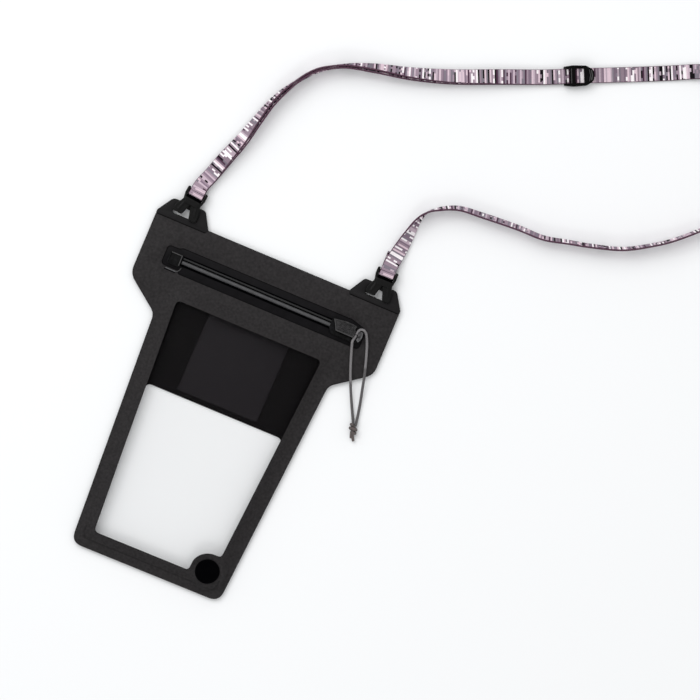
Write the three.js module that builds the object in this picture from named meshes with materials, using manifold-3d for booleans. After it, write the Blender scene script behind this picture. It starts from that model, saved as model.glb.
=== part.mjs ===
// Waterproof phone pouch with a toothless zip, two tabs and a webbing lanyard.
// Millimetres. The pouch lies on its back, face up: +X to its right, +Y towards
// the tabs, +Z out of its face. The origin is the middle of its underside.
import * as THREE from 'three';
import { mergeVertices } from 'three/addons/utils/BufferGeometryUtils.js';
import Module from 'manifold-3d';

const wasm = await Module();
wasm.setup();

// Gap left between two pieces that touch
const GAP = 0.3;

// Outline of the pouch
const WING_HALF = 86.9;
const WING_LOW_Y = 60.6;
const LEG_JOIN_Y = 42.4;
const BOTTOM_Y = -117.35;
const TOP_EDGE_Y = 106.3;
const TAB_LINE_Y = 104.2;
const TAB_TOP_Y = 117.5;
const LEG_BOTTOM_HALF = 52.6;
const LEG_TOP_HALF = 61.9;
const LEG_TOP_Y = 35;
const LEG_CORNER = 8;

// Below a level the soft sheets lie a little askew: they lean, and their foot tilts
const ASKEW = { fromY: 60, lean: 0.0103, tilt: 0.000065 };

// Sheet thicknesses and heights
const BACK_T = 0.8;
const FRONT_LOW = BACK_T + GAP;
const FRONT_T = 1.4;
const FILM_T = 0.5;
const SEAM_STEP = 0.9;
const POCKET_RISE = 7.2;

// The pocket: how far the front rises over a phone, and where
const SEAM_SHARE = 0.93;
const CROWN_SHARE = 0.66;
const RISE_STEPS = 4;
const SEAM_BOTTOM_Y = -113.5;
const CROWN_BOTTOM_Y = -97.5;
const CROWN_TOP_Y = 50;
const SEAM_TOP_Y = 68;

// Front window
const WINDOW_TOP_Y = 56.2;
const WINDOW_BOTTOM_Y = -105.3;
const WINDOW_TOP_HALF = 51.6;
const WINDOW_BOTTOM_HALF = 41.4;
const WINDOW_CORNER = 3.5;
const SURROUND_CORNER = 4.5;
const SURROUND_FOOT = 3.5;
const SURROUND_FOOT_X = -11.9;
const FILM_LAP = 3.5;

// Round badge beside the window's lower right corner
const BADGE_X = 37.75;
const BADGE_Y = -101.1;
const BADGE_R = 8.1;
const BADGE_T = 0.8;
const BADGE_SURROUND_R = 12;
const BADGE_LEVEL = 5.2;
const BADGE_FLAT_R = 9.4;
const BADGE_BLEND = 4.6;

// Back window
const BACK_WINDOW_TOP_Y = -1.7;
const BACK_WINDOW_TOP_HALF = 48.4;

// Dark strip on the inside of the back
const STRIP_HALF = 28.3;
const STRIP_TOP_Y = 60;
const STRIP_BOTTOM_Y = 2;
const STRIP_T = 0.4;

// Zip
const ZIP_HALF = 71.2;
const ZIP_LOW_Y = 72.1;
const ZIP_HIGH_Y = 89.3;
const ZIP_CORNER = 3;
const ZIP_BASE_T = 0.7;
const ZIP_BASE_TOP = FRONT_LOW + ZIP_BASE_T;
// The cut-out is narrower round the left end stop
const NARROW_LOW = { y: 74.2, x0: -59.4, x1: -57.6 };
const NARROW_HIGH = { y: 88, x0: -63.5, x1: -61 };
const NARROW_CORNER = 1.2;
const RAIL_X0 = -58.2;
const RAIL_X1 = 65;
const LOWER_RAIL = { y: 80.3, width: 2.5, height: 2.6 };
const UPPER_RAIL = { y: 82.9, width: 1.3, height: 1.7 };
const LEFT_STOP = { x0: -67.8, x1: -58.9, y0: 76.4, y1: 84.8, height: 4.2 };
const RIGHT_STOP = { x0: 65.4, x1: 69.6, y0: 79.2, y1: 83.9, height: 2.4 };

// Slider, parked at the zip's right end
const SLIDER_X0 = 48.3;
const SLIDER_X1 = 70.4;
const SLIDER_Y0 = 74.6;
const SLIDER_Y1 = 86.8;
const SLIDER_LOW = ZIP_BASE_TOP + GAP;
const SLIDER_LEDGE = 5.2;
const SLIDER_TOP = 8.4;
const CHANNEL_Y0 = 78.4;
const CHANNEL_Y1 = 84.4;
const CHANNEL_TOP = 4.8;

// Tabs and their slots
const TAB_T = 2.9;
const TAB_SHOULDER_Y = 106.4;
const TAB_OUTER_X = 79.8;
const TAB_INNER_X = 57;
const TAB_FOOT_X = 50.5;
const TAB_STEP = 1.2;
const SLOT_HALF = 8.25;
const SLOT_LOW_Y = 108.3;
const SLOT_HIGH_Y = 113.9;
const SLOT_CORNER = 2;
const TAB_SLOTS = { left: -68.95, right: 68.65 };

// Lanyard hooks
const HOOK_BAR_Z = 3;
const HOOK_BAR_T = 2.4;
const HOOK_BAR_Y0 = 124.4;
const HOOK_BAR_Y1 = 127;
const HOOK_BODY_TOP = 6;
const HOOK_TIP_LOW = 0.5;
const HOOK_TIP_X0 = 3.6;
const HOOK_TIP_X1 = 6.9;
const HOOKS = {
  left: { x: -68.3, turn: -6 },
  right: { x: 69.5, turn: 1 },
};
const HOOK_PIVOT_Y = 111;

// Lanyard webbing
const WEB_W = 10;
const WEB_T = 1.2;
const PAIR_GAP = (WEB_T + GAP) / 2;
const TWIST_GAP = 1.05;
const BAR_GAP = HOOK_BAR_T / 2 + GAP + WEB_T / 2;
const WEB_LIE = 0.3;
const PAIR_STEP = 9;
const SINGLE_STEP = 17;

// Pull cord
const CORD_D = 2;
const KNOT = { x: 88.2, y: 22.8, rx: 3, ry: 3.2, rz: 2.6 };

const DEG = Math.PI / 180;

const COLOURS = {
  front: 0x383436,
  back: 0x19161a,
  clear: 0xdfeef2,
  strip: 0x323032,
  tab: 0x2a2829,
  zipBase: 0x141315,
  rail: 0x6a6a6c,
  block: 0x2b2a2c,
  slider: 0x302f31,
  tip: 0x88888a,
  cord: 0x757376,
  hook: 0x1c1c1d,
  webbing: 0xa5919f,
  badge: 0x0c0c0d,
};

function material(color, roughness = 0.7) {
  return new THREE.MeshStandardMaterial({ color, roughness, metalness: 0 });
}

const clearFilm = new THREE.MeshStandardMaterial({
  color: COLOURS.clear, roughness: 0.1, metalness: 0, transparent: true, opacity: 0.3,
});

// Solids and booleans

function toManifold(geometry) {
  const bare = geometry.clone();
  bare.deleteAttribute('normal');
  bare.deleteAttribute('uv');
  const merged = mergeVertices(bare, 1e-4);
  return new wasm.Manifold(new wasm.Mesh({
    numProp: 3,
    vertProperties: new Float32Array(merged.attributes.position.array),
    triVerts: new Uint32Array(merged.index.array),
  }));
}

function toGeometry(solid) {
  const mesh = solid.getMesh();
  const geometry = new THREE.BufferGeometry();
  geometry.setAttribute('position', new THREE.BufferAttribute(new Float32Array(mesh.vertProperties), 3));
  geometry.setIndex(new THREE.BufferAttribute(new Uint32Array(mesh.triVerts), 1));
  geometry.computeVertexNormals();
  return geometry;
}

// A closed outline from corners [x, y, radius], each rounded by its radius
function roundedOutline(corners) {
  const count = corners.length;
  const shape = new THREE.Shape();
  corners.forEach(([x, y, radius = 0], i) => {
    const corner = new THREE.Vector2(x, y);
    const before = new THREE.Vector2(...corners[(i + count - 1) % count].slice(0, 2)).sub(corner);
    const after = new THREE.Vector2(...corners[(i + 1) % count].slice(0, 2)).sub(corner);
    const half = Math.abs(Math.PI - Math.abs(before.angleTo(after))) / 2;
    const reach = Math.min(radius * Math.tan(half), 0.49 * before.length(), 0.49 * after.length());
    const start = corner.clone().add(before.setLength(reach || 1e-9));
    const end = corner.clone().add(after.setLength(reach || 1e-9));
    if (i === 0) {
      shape.moveTo(start.x, start.y);
    } else {
      shape.lineTo(start.x, start.y);
    }
    if (radius > 0) {
      shape.quadraticCurveTo(x, y, end.x, end.y);
    }
  });
  shape.closePath();
  return shape;
}

function prism(shape, low, high, curveSegments = 6) {
  const geometry = new THREE.ExtrudeGeometry(shape, {
    depth: high - low, bevelEnabled: false, curveSegments,
  });
  return geometry.translate(0, 0, low);
}

// A section drawn in Y and Z, extruded along X
function prismAlongX(shape, x0, x1, curveSegments = 8) {
  const geometry = new THREE.ExtrudeGeometry(shape, {
    depth: x1 - x0, bevelEnabled: false, curveSegments,
  });
  geometry.rotateX(Math.PI / 2);
  geometry.rotateZ(Math.PI / 2);
  return geometry.translate(x0, 0, 0);
}

function box(x0, x1, y0, y1, z0, z1) {
  const geometry = new THREE.BoxGeometry(x1 - x0, y1 - y0, z1 - z0);
  return geometry.translate((x0 + x1) / 2, (y0 + y1) / 2, (z0 + z1) / 2);
}

function mirrored(corners) {
  return [...corners, ...corners.map(([x, y, r]) => [-x, y, r]).reverse()];
}

// Half width of the pouch's leg at a height y, which tapers towards the bottom
function legHalf(y) {
  const share = (y - BOTTOM_Y) / (LEG_TOP_Y - BOTTOM_Y);
  return LEG_BOTTOM_HALF + share * (LEG_TOP_HALF - LEG_BOTTOM_HALF);
}

function windowHalf(y) {
  const share = (y - WINDOW_BOTTOM_Y) / (WINDOW_TOP_Y - WINDOW_BOTTOM_Y);
  return WINDOW_BOTTOM_HALF + share * (WINDOW_TOP_HALF - WINDOW_BOTTOM_HALF);
}

const bodyCorners = mirrored([
  [LEG_BOTTOM_HALF, BOTTOM_Y, LEG_CORNER],
  [legHalf(LEG_JOIN_Y), LEG_JOIN_Y, 9],
  [WING_HALF, WING_LOW_Y, 11],
  [WING_HALF, TAB_LINE_Y - GAP / 2, 0],
  [TAB_FOOT_X + TAB_STEP - GAP, TAB_LINE_Y - GAP / 2, 0],
  [TAB_FOOT_X - GAP, TOP_EDGE_Y, 0],
]);

// The pocket's lift

function smooth(t) {
  const clamped = Math.min(1, Math.max(0, t));
  return clamped * clamped * (3 - 2 * clamped);
}

// The front steps up just inside the welded seam, then rises to its crown.
// Round the badge it lies level.
function lift(share, y) {
  const across = (SEAM_SHARE - Math.abs(share)) / (SEAM_SHARE - CROWN_SHARE);
  const below = (y - SEAM_BOTTOM_Y) / (CROWN_BOTTOM_Y - SEAM_BOTTOM_Y);
  const above = (SEAM_TOP_Y - y) / (SEAM_TOP_Y - CROWN_TOP_Y);
  const step = Math.min(1, Math.max(0, RISE_STEPS * Math.min(across, below, above)));
  const crown = SEAM_STEP * step + POCKET_RISE * smooth(across) * smooth(below) * smooth(above);
  const fromBadge = Math.hypot(share * legHalf(y) - BADGE_X, y - BADGE_Y);
  const free = smooth((fromBadge - BADGE_FLAT_R) / BADGE_BLEND);
  return BADGE_LEVEL + (crown - BADGE_LEVEL) * free;
}

function stepped(from, to, steps) {
  return Array.from({ length: steps + 1 }, (_, i) => from + (to - from) * i / steps);
}

const crownSide = stepped(CROWN_SHARE, SEAM_SHARE, RISE_STEPS);
const SHARES = [
  -1.7, -1.1, ...crownSide.map((s) => -s).reverse(), -0.2, 0.2, 0.39, ...stepped(0.45, 0.87, 12),
  SEAM_SHARE, 1.1, 1.7,
];
const ROWS = [
  -120, SEAM_BOTTOM_Y, ...stepped(-111.5, -89.5, 11), -84, -60, -22, 16,
  ...stepped(CROWN_TOP_Y, SEAM_TOP_Y, RISE_STEPS), 94, 120,
];

// A sheet that follows the front's lift, from one offset above it to another.
// Its upper and lower grids share the same cells, so that sheets stay parallel.
function liftedSheet(lowOffset, highOffset) {
  const columns = SHARES.length;
  const rows = ROWS.length;
  const positions = [];
  for (const offset of [lowOffset, highOffset]) {
    for (const y of ROWS) {
      for (const share of SHARES) {
        positions.push(share * legHalf(y), y, FRONT_LOW + offset + lift(share, y));
      }
    }
  }
  const top = columns * rows;
  const indices = [];
  const quad = (a, b, c, d) => indices.push(a, b, c, a, c, d);
  for (let r = 0; r < rows - 1; r++) {
    for (let c = 0; c < columns - 1; c++) {
      const a = r * columns + c;
      const b = a + 1;
      const d = a + columns;
      const e = d + 1;
      indices.push(top + a, top + b, top + e, top + a, top + e, top + d);
      indices.push(a, e, b, a, d, e);
    }
  }
  for (let c = 0; c < columns - 1; c++) {
    const last = (rows - 1) * columns + c;
    quad(c, c + 1, top + c + 1, top + c);
    quad(last + 1, last, top + last, top + last + 1);
  }
  for (let r = 0; r < rows - 1; r++) {
    const left = r * columns;
    const right = left + columns - 1;
    quad(left + columns, left, top + left, top + left + columns);
    quad(right, right + columns, top + right + columns, top + right);
  }
  const geometry = new THREE.BufferGeometry();
  geometry.setAttribute('position', new THREE.Float32BufferAttribute(positions, 3));
  geometry.setIndex(indices);
  return toManifold(geometry);
}

function tall(corners, curveSegments = 6) {
  return toManifold(prism(roundedOutline(corners), -10, 40, curveSegments));
}

// Front window outline: a tapered opening whose lower right corner goes round the badge
function windowCorners() {
  const surroundTop = BADGE_Y + BADGE_SURROUND_R;
  const arc = stepped(165, 90, 7).map((angle) => [
    BADGE_X + BADGE_SURROUND_R * Math.cos(angle * DEG),
    BADGE_Y + BADGE_SURROUND_R * Math.sin(angle * DEG),
    0,
  ]);
  return [
    [-WINDOW_BOTTOM_HALF, WINDOW_BOTTOM_Y, WINDOW_CORNER],
    [BADGE_X + SURROUND_FOOT_X, WINDOW_BOTTOM_Y, SURROUND_FOOT],
    ...arc,
    [windowHalf(surroundTop), surroundTop, SURROUND_CORNER],
    [WINDOW_TOP_HALF, WINDOW_TOP_Y, WINDOW_CORNER],
    [-WINDOW_TOP_HALF, WINDOW_TOP_Y, WINDOW_CORNER],
  ];
}

// The clear film laps under the frame all round
function filmCorners() {
  return mirrored([
    [WINDOW_BOTTOM_HALF + FILM_LAP, WINDOW_BOTTOM_Y - FILM_LAP, 6],
    [WINDOW_TOP_HALF + FILM_LAP, WINDOW_TOP_Y + FILM_LAP, 4],
  ]);
}

function backWindowCorners(shrink) {
  return mirrored([
    [WINDOW_BOTTOM_HALF - shrink, WINDOW_BOTTOM_Y + shrink, WINDOW_CORNER],
    [BACK_WINDOW_TOP_HALF - shrink, BACK_WINDOW_TOP_Y - shrink, WINDOW_CORNER],
  ]);
}

function zipCorners(shrink) {
  const slant = 0.4 * shrink;
  return [
    [-ZIP_HALF + shrink, NARROW_LOW.y + shrink, ZIP_CORNER],
    [NARROW_LOW.x0 + slant, NARROW_LOW.y + shrink, NARROW_CORNER],
    [NARROW_LOW.x1 + slant, ZIP_LOW_Y + shrink, NARROW_CORNER],
    [ZIP_HALF - shrink, ZIP_LOW_Y + shrink, ZIP_CORNER],
    [ZIP_HALF - shrink, ZIP_HIGH_Y - shrink, ZIP_CORNER],
    [NARROW_HIGH.x1 + slant, ZIP_HIGH_Y - shrink, NARROW_CORNER],
    [NARROW_HIGH.x0 + slant, NARROW_HIGH.y - shrink, NARROW_CORNER],
    [-ZIP_HALF + shrink, NARROW_HIGH.y - shrink, ZIP_CORNER],
  ];
}

function askew(geometry) {
  const spots = geometry.attributes.position;
  for (let i = 0; i < spots.count; i++) {
    const x = spots.getX(i);
    const y = spots.getY(i);
    const depth = Math.max(0, ASKEW.fromY - y);
    spots.setX(i, x - ASKEW.lean * depth);
    spots.setY(i, y + ASKEW.tilt * x * depth);
  }
  geometry.computeVertexNormals();
  return geometry;
}

function circle(x, y, r) {
  const shape = new THREE.Shape();
  shape.absarc(x, y, r, 0, 2 * Math.PI);
  return shape;
}

// Shells

function frontPanel() {
  const sheet = liftedSheet(0, FRONT_T).intersect(tall(bodyCorners));
  return toGeometry(sheet.subtract(tall(windowCorners())).subtract(tall(zipCorners(0))));
}

function frontWindow() {
  const sheet = liftedSheet(-GAP - FILM_T, -GAP);
  return toGeometry(sheet.intersect(tall(filmCorners(), 3)));
}

function backPanel() {
  const opening = tall(backWindowCorners(0));
  return toGeometry(toManifold(prism(roundedOutline(bodyCorners), 0, BACK_T)).subtract(opening));
}

function backWindow() {
  return prism(roundedOutline(backWindowCorners(GAP)), 0, FILM_T);
}

function innerStrip() {
  const low = BACK_T + GAP;
  return box(-STRIP_HALF, STRIP_HALF, STRIP_BOTTOM_Y, STRIP_TOP_Y, low, low + STRIP_T);
}

function badgeDisc() {
  const round = toManifold(prism(circle(BADGE_X, BADGE_Y, BADGE_R), -10, 40, 16));
  return toGeometry(liftedSheet(FRONT_T + GAP, FRONT_T + GAP + BADGE_T).intersect(round));
}

// Tabs, each with its slot
function tab(side, slotX) {
  const corners = [
    [side * WING_HALF, TAB_LINE_Y + GAP / 2, 0],
    [side * WING_HALF, TAB_SHOULDER_Y, 1.5],
    [side * TAB_OUTER_X, TAB_TOP_Y, 4],
    [side * TAB_INNER_X, TAB_TOP_Y, 3],
    [side * TAB_FOOT_X, TOP_EDGE_Y, 0.5],
    [side * (TAB_FOOT_X + TAB_STEP), TAB_LINE_Y + GAP / 2, 0],
  ];
  const shape = roundedOutline(side > 0 ? corners : corners.reverse());
  shape.holes.push(roundedOutline([
    [slotX - SLOT_HALF, SLOT_LOW_Y, SLOT_CORNER],
    [slotX + SLOT_HALF, SLOT_LOW_Y, SLOT_CORNER],
    [slotX + SLOT_HALF, SLOT_HIGH_Y, SLOT_CORNER],
    [slotX - SLOT_HALF, SLOT_HIGH_Y, SLOT_CORNER],
  ]));
  return prism(shape, 0, TAB_T, 4);
}

// Zip

function zipBase() {
  return prism(roundedOutline(zipCorners(GAP)), FRONT_LOW, ZIP_BASE_TOP);
}

// A rail has a flat foot on the base and a round crown
function rail({ y, width, height }) {
  const foot = height - width / 2;
  const shape = new THREE.Shape();
  shape.moveTo(-width / 2, 0);
  shape.lineTo(width / 2, 0);
  shape.lineTo(width / 2, foot);
  shape.absarc(0, foot, width / 2, 0, Math.PI);
  shape.lineTo(-width / 2, 0);
  const geometry = prismAlongX(shape, RAIL_X0, RAIL_X1);
  return geometry.translate(0, y, ZIP_BASE_TOP + GAP / 2);
}

function endStop({ x0, x1, y0, y1, height }) {
  const low = ZIP_BASE_TOP + GAP / 2;
  const block = prism(roundedOutline([
    [x0, y0, 1.2],
    [x1, y0, 1.2],
    [x1, y1, 1.2],
    [x0, y1, 1.2],
  ]), low, low + height, 3);
  return block;
}

// Slider: a ledge that straddles the rails, and a grip on top of it

function sliderBody() {
  const ledge = toManifold(prism(roundedOutline([
    [SLIDER_X0 + 1.2, SLIDER_Y0 + 0.6, 1.5],
    [66.6, SLIDER_Y0, 1.5],
    [SLIDER_X1, 76.8, 2],
    [SLIDER_X1, 84.4, 2],
    [67.6, SLIDER_Y1, 2],
    [SLIDER_X0, SLIDER_Y1 - 0.4, 1.5],
  ]), SLIDER_LOW, SLIDER_LEDGE, 3));
  const grip = toManifold(prism(roundedOutline([
    [52.4, 78.2, 0.6],
    [64.6, 78.1, 0.8],
    [64.6, 86.3, 1.2],
    [57.5, 86.6, 3],
    [SLIDER_X0, 85.2, 0.8],
    [50.6, 81.8, 1.5],
  ]), SLIDER_LEDGE - 0.5, SLIDER_TOP, 3));
  const channel = toManifold(box(SLIDER_X0 - 5, SLIDER_X1 + 5, CHANNEL_Y0, CHANNEL_Y1, 0, CHANNEL_TOP));
  return toGeometry(ledge.add(grip).subtract(channel));
}

function sliderTip() {
  return prism(roundedOutline([
    [67.3, 77.6, 0.6],
    [69, 76.5, 0.8],
    [70.3, 80.4, 1.6],
    [69.4, 84.1, 1],
    [67.3, 83.2, 0.8],
  ]), SLIDER_LEDGE + GAP, SLIDER_TOP - 0.3, 3);
}

// Hooks: a bar for the webbing between two ears, and two prongs into the tab's slot

function hook() {
  const ears = [-1, 1].map((side) => toManifold(prism(roundedOutline([
    [side * 5.3, 119.2, 0.4],
    [side * 6.4, 119.2, 0.6],
    [side * 7.3, 124.2, 3],
    [side * 7.1, 128.4, 1.5],
    [side * 5.3, 128, 0.8],
  ].map((c, i, all) => (side > 0 ? c : all[all.length - 1 - i]))), 0.6, 5.4, 3)));
  const barLow = HOOK_BAR_Z - HOOK_BAR_T / 2;
  const barHigh = HOOK_BAR_Z + HOOK_BAR_T / 2;
  const bar = toManifold(prismAlongX(roundedOutline([
    [HOOK_BAR_Y0, barLow, 1],
    [HOOK_BAR_Y1, barLow, 1],
    [HOOK_BAR_Y1, barHigh, 1],
    [HOOK_BAR_Y0, barHigh, 1],
  ]), -6, 6, 3));
  const neck = toManifold(prism(roundedOutline([
    [-6.4, 118.9, 0.5],
    [6.4, 118.9, 0.5],
    [6.6, 122.3, 0.6],
    [-6.6, 122.3, 0.6],
  ]), 1.2, HOOK_BODY_TOP, 3));
  let solid = neck.add(bar);
  ears.forEach((ear) => {
    solid = solid.add(ear);
  });
  [-1, 1].forEach((side) => {
    const outline = [
      [side * 0.2, 121.5, 0],
      [side * 5.6, 121.5, 1],
      [side * 8.2, 111.6, 1],
      [side * 7.9, 109.3, 1.2],
      [side * 4.2, 109.2, 1.2],
      [side * 0.2, 117.6, 0.4],
    ];
    const ordered = side < 0 ? outline : outline.reverse();
    solid = solid.add(toManifold(prism(roundedOutline(ordered), TAB_T + GAP, HOOK_BODY_TOP, 3)));
    const tipX = [side * HOOK_TIP_X0, side * HOOK_TIP_X1].sort((a, b) => a - b);
    const tip = box(...tipX, 109.6, 112.2, HOOK_TIP_LOW, 4);
    solid = solid.add(toManifold(tip));
  });
  return toGeometry(solid);
}

function placeHook(mesh, { x, turn }) {
  const pivot = new THREE.Group();
  pivot.position.set(x, HOOK_PIVOT_Y, 0);
  pivot.rotation.z = turn * DEG;
  mesh.position.set(0, -HOOK_PIVOT_Y, 0);
  pivot.add(mesh);
  return pivot;
}

// Webbing routes: each point is x, y, how far the webbing's lowest edge is off the
// surface, its twist in degrees, and half the distance between its two layers.
// The strap stands on edge through its curves.

// From the left hook's bar to the strap adjuster, two layers side by side
const PAIR_ROUTE = [
  [-66.65, 126.75, 0.3, 0, BAR_GAP],
  [-66.1, 131.8, 0.35, 0, 1.9],
  [-63.5, 141.0, WEB_LIE, 6, 1.1],
  [-59.2, 155.0, WEB_LIE, 20, TWIST_GAP],
  [-54.1, 169.6, WEB_LIE, 36, TWIST_GAP],
  [-49.6, 184.6, WEB_LIE, 52, TWIST_GAP],
  [-45.1, 199.2, WEB_LIE, 68, TWIST_GAP],
  [-40.2, 209.6, WEB_LIE, 78, TWIST_GAP],
  [-35.2, 218.3, WEB_LIE, 86, PAIR_GAP],
  [-29.8, 226.0, WEB_LIE, 90, PAIR_GAP],
  [-23.4, 232.6, WEB_LIE, 90, PAIR_GAP],
  [-9.2, 241.5, WEB_LIE, 88, PAIR_GAP],
  [9.6, 247.9, WEB_LIE, 80, TWIST_GAP],
  [32.5, 253.2, WEB_LIE, 60, TWIST_GAP],
  [57.6, 261.6, WEB_LIE, 34, TWIST_GAP],
  [88.0, 274.4, WEB_LIE, 10, TWIST_GAP],
  [115.4, 285.9, 0.15, 0, PAIR_GAP],
  [126.2, 290.9, 0.1, 0, PAIR_GAP],
  [134.4, 294.7, 0.1, 0, PAIR_GAP],
];

// One layer from the adjuster out of sight, round, and back to the right hook's bar
const SINGLE_ROUTE = [
  [142.0, 298.2, 1.6, 0],
  [152.0, 302.7, 0.8, 0],
  [172.4, 312.0, WEB_LIE, 0],
  [190.0, 320.2, WEB_LIE, 0],
  [208.3, 328.9, WEB_LIE, 10],
  [226.0, 334.6, WEB_LIE, 35],
  [246.0, 334.4, WEB_LIE, 68],
  [264.0, 324.0, WEB_LIE, 84],
  [275.4, 305.6, WEB_LIE, 90],
  [278.0, 283.0, WEB_LIE, 90],
  [270.6, 259.0, WEB_LIE, 94],
  [256.8, 241.2, WEB_LIE, 98],
  [234.9, 219.5, WEB_LIE, 100],
  [220.6, 209.2, WEB_LIE, 101],
  [206.2, 201.0, WEB_LIE, 102],
  [186.6, 194.8, WEB_LIE, 104],
  [170.3, 190.9, WEB_LIE, 106],
  [155.3, 187.4, WEB_LIE, 108],
  [137.5, 187.1, WEB_LIE, 110],
  [113.2, 185.5, WEB_LIE, 110],
  [96.1, 183.7, WEB_LIE, 102],
  [85.2, 178.7, WEB_LIE, 92],
  [78.2, 173.3, WEB_LIE, 84],
  [74.6, 166.0, WEB_LIE, 62],
  [72.6, 154.5, WEB_LIE, 28],
  [71.0, 145.0, 1.2, 6],
  [69.9, 137.6, 2.0, 0],
  [69.3, 131.2, 4.0, 0],
  [69.23, 126.75, 4.5, 0],
];

// Height of the webbing's middle where its lowest edge is at a given height
function middleHeight(low, twist, gap) {
  const level = Math.abs(Math.cos(twist * DEG));
  return low + WEB_W / 2 * Math.sin(twist * DEG) + (gap + WEB_T / 2) * level;
}

function stations(route, step) {
  const points = route.map(([x, y, low, twist, gap = 0]) => (
    new THREE.Vector3(x, y, middleHeight(low, twist, gap))
  ));
  const curve = new THREE.CatmullRomCurve3(points);
  curve.arcLengthDivisions = 60 * route.length;
  const count = Math.ceil(curve.getLength() / step);
  return Array.from({ length: count + 1 }, (_, i) => {
    const t = curve.getUtoTmapping(i / count);
    const at = t * (route.length - 1);
    const low = Math.min(Math.floor(at), route.length - 2);
    const mix = (k) => THREE.MathUtils.lerp(route[low][k] ?? 0, route[low + 1][k] ?? 0, at - low);
    return { point: curve.getPoint(t), along: curve.getTangent(t), twist: mix(3), gap: mix(4) };
  });
}

// Moves a station off the middle of the pair, along the webbing's own normal,
// which points down where the webbing lies flat
function onLayer(list, side) {
  return list.map((station) => {
    const { normal } = webFrame(station);
    const point = station.point.clone().addScaledVector(normal, side * station.gap);
    return { ...station, point };
  });
}

function webFrame({ along, twist }) {
  const flat = new THREE.Vector3(along.y, -along.x, 0).normalize();
  const rise = new THREE.Vector3().crossVectors(flat, along).normalize();
  const across = flat.clone().multiplyScalar(Math.cos(twist * DEG));
  across.addScaledVector(rise, Math.sin(twist * DEG));
  const normal = new THREE.Vector3().crossVectors(along, across).normalize();
  return { across, normal };
}

// A closed band: a straight extrusion of the webbing's section, laid along the stations
function band(list) {
  const w = WEB_W / 2;
  const t = WEB_T / 2;
  const ease = 0.3;
  const section = new THREE.Shape([
    [w, -t + ease], [w, t - ease], [w - ease, t], [-w + ease, t],
    [-w, t - ease], [-w, -t + ease], [-w + ease, -t], [w - ease, -t],
  ].map(([x, y]) => new THREE.Vector2(x, y)));
  const steps = list.length - 1;
  const geometry = new THREE.ExtrudeGeometry(section, { depth: steps, steps, bevelEnabled: false });
  const position = geometry.attributes.position;
  for (let i = 0; i < position.count; i++) {
    const station = list[Math.round(position.getZ(i))];
    const { across, normal } = webFrame(station);
    const place = station.point.clone();
    place.addScaledVector(across, position.getX(i));
    place.addScaledVector(normal, position.getY(i));
    position.setXYZ(i, place.x, place.y, place.z);
  }
  return toGeometry(toManifold(geometry));
}

// The webbing's turn round a hook's bar, with a sewn tail under the strap
function webTurn(tail) {
  const barY = (HOOK_BAR_Y0 + HOOK_BAR_Y1) / 2;
  const outer = BAR_GAP + WEB_T / 2;
  const inner = BAR_GAP - WEB_T / 2;
  const top = HOOK_BAR_Z + outer;
  const foot = barY - HOOK_BAR_Y0 + GAP;
  const lip = 0.5;
  const shape = new THREE.Shape();
  shape.moveTo(barY + lip, top);
  shape.lineTo(barY - foot + inner, top);
  shape.absarc(barY - foot + inner, HOOK_BAR_Z, outer, Math.PI / 2, 1.5 * Math.PI);
  shape.lineTo(barY + lip + tail, HOOK_BAR_Z - outer);
  shape.lineTo(barY + lip + tail, HOOK_BAR_Z - inner);
  shape.lineTo(barY - foot + inner, HOOK_BAR_Z - inner);
  shape.absarc(barY - foot + inner, HOOK_BAR_Z, inner, 1.5 * Math.PI, Math.PI / 2, true);
  shape.lineTo(barY + lip, HOOK_BAR_Z + inner);
  shape.closePath();
  return prismAlongX(shape, -WEB_W / 2, WEB_W / 2);
}

// Strap adjuster: two bars over the webbing, and one under its outer layer

function adjuster() {
  const outline = roundedOutline([
    [-10.1, -6.2, 0.8],
    [-4, -7, 3],
    [5, -6.6, 3],
    [10.1, -3.4, 4],
    [10.1, 3.4, 4],
    [5, 6.6, 3],
    [-4, 7, 3],
    [-10.1, 6.2, 0.8],
  ]);
  const side = WEB_W / 2 + GAP;
  const slab = toManifold(prism(outline, 0, 5.3, 4));
  const tunnel = toManifold(box(-12, 12, -side, side, -1, 3.1));
  const mouth = toManifold(box(-12, -6.1, -side, side, -1, 7));
  const slot = toManifold(box(-2.3, 3.4, -side, side, -1, 7));
  const middle = toManifold(box(-0.7, 1.7, -6, 6, 0, 1.2));
  return toGeometry(slab.subtract(tunnel).subtract(mouth).subtract(slot).add(middle));
}

// Pull cord

const LEFT_STRAND = [
  [65.9, 80.6, 6.5],
  [65.7, 78.0, 6.5],
  [65.4, 74.9, 6.6],
  [66.0, 71.9, 5.2],
  [67.6, 67.8, 3.9],
  [71.2, 58.0, 3.8],
  [75.0, 49.4, 3.8],
  [79.2, 41.0, 2.0],
  [83.6, 32.4, 1.2],
  [86.5, 26.9, 1.7],
];

const RIGHT_STRAND = [
  [65.9, 81.0, 6.5],
  [66.0, 83.4, 6.5],
  [67.2, 85.4, 6.5],
  [69.4, 85.9, 6.4],
  [71.6, 84.7, 5.6],
  [73.4, 81.8, 4.3],
  [75.4, 77.2, 3.8],
  [78.0, 69.6, 3.8],
  [81.4, 58.4, 3.8],
  [83.5, 50.0, 2.6],
  [86.3, 38.6, 1.2],
  [88.6, 27.0, 1.7],
];

const TAIL = [
  [89.0, 19.0, 2.0],
  [89.9, 17.4, 1.2],
  [91.5, 15.2, 1.1],
];

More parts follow.
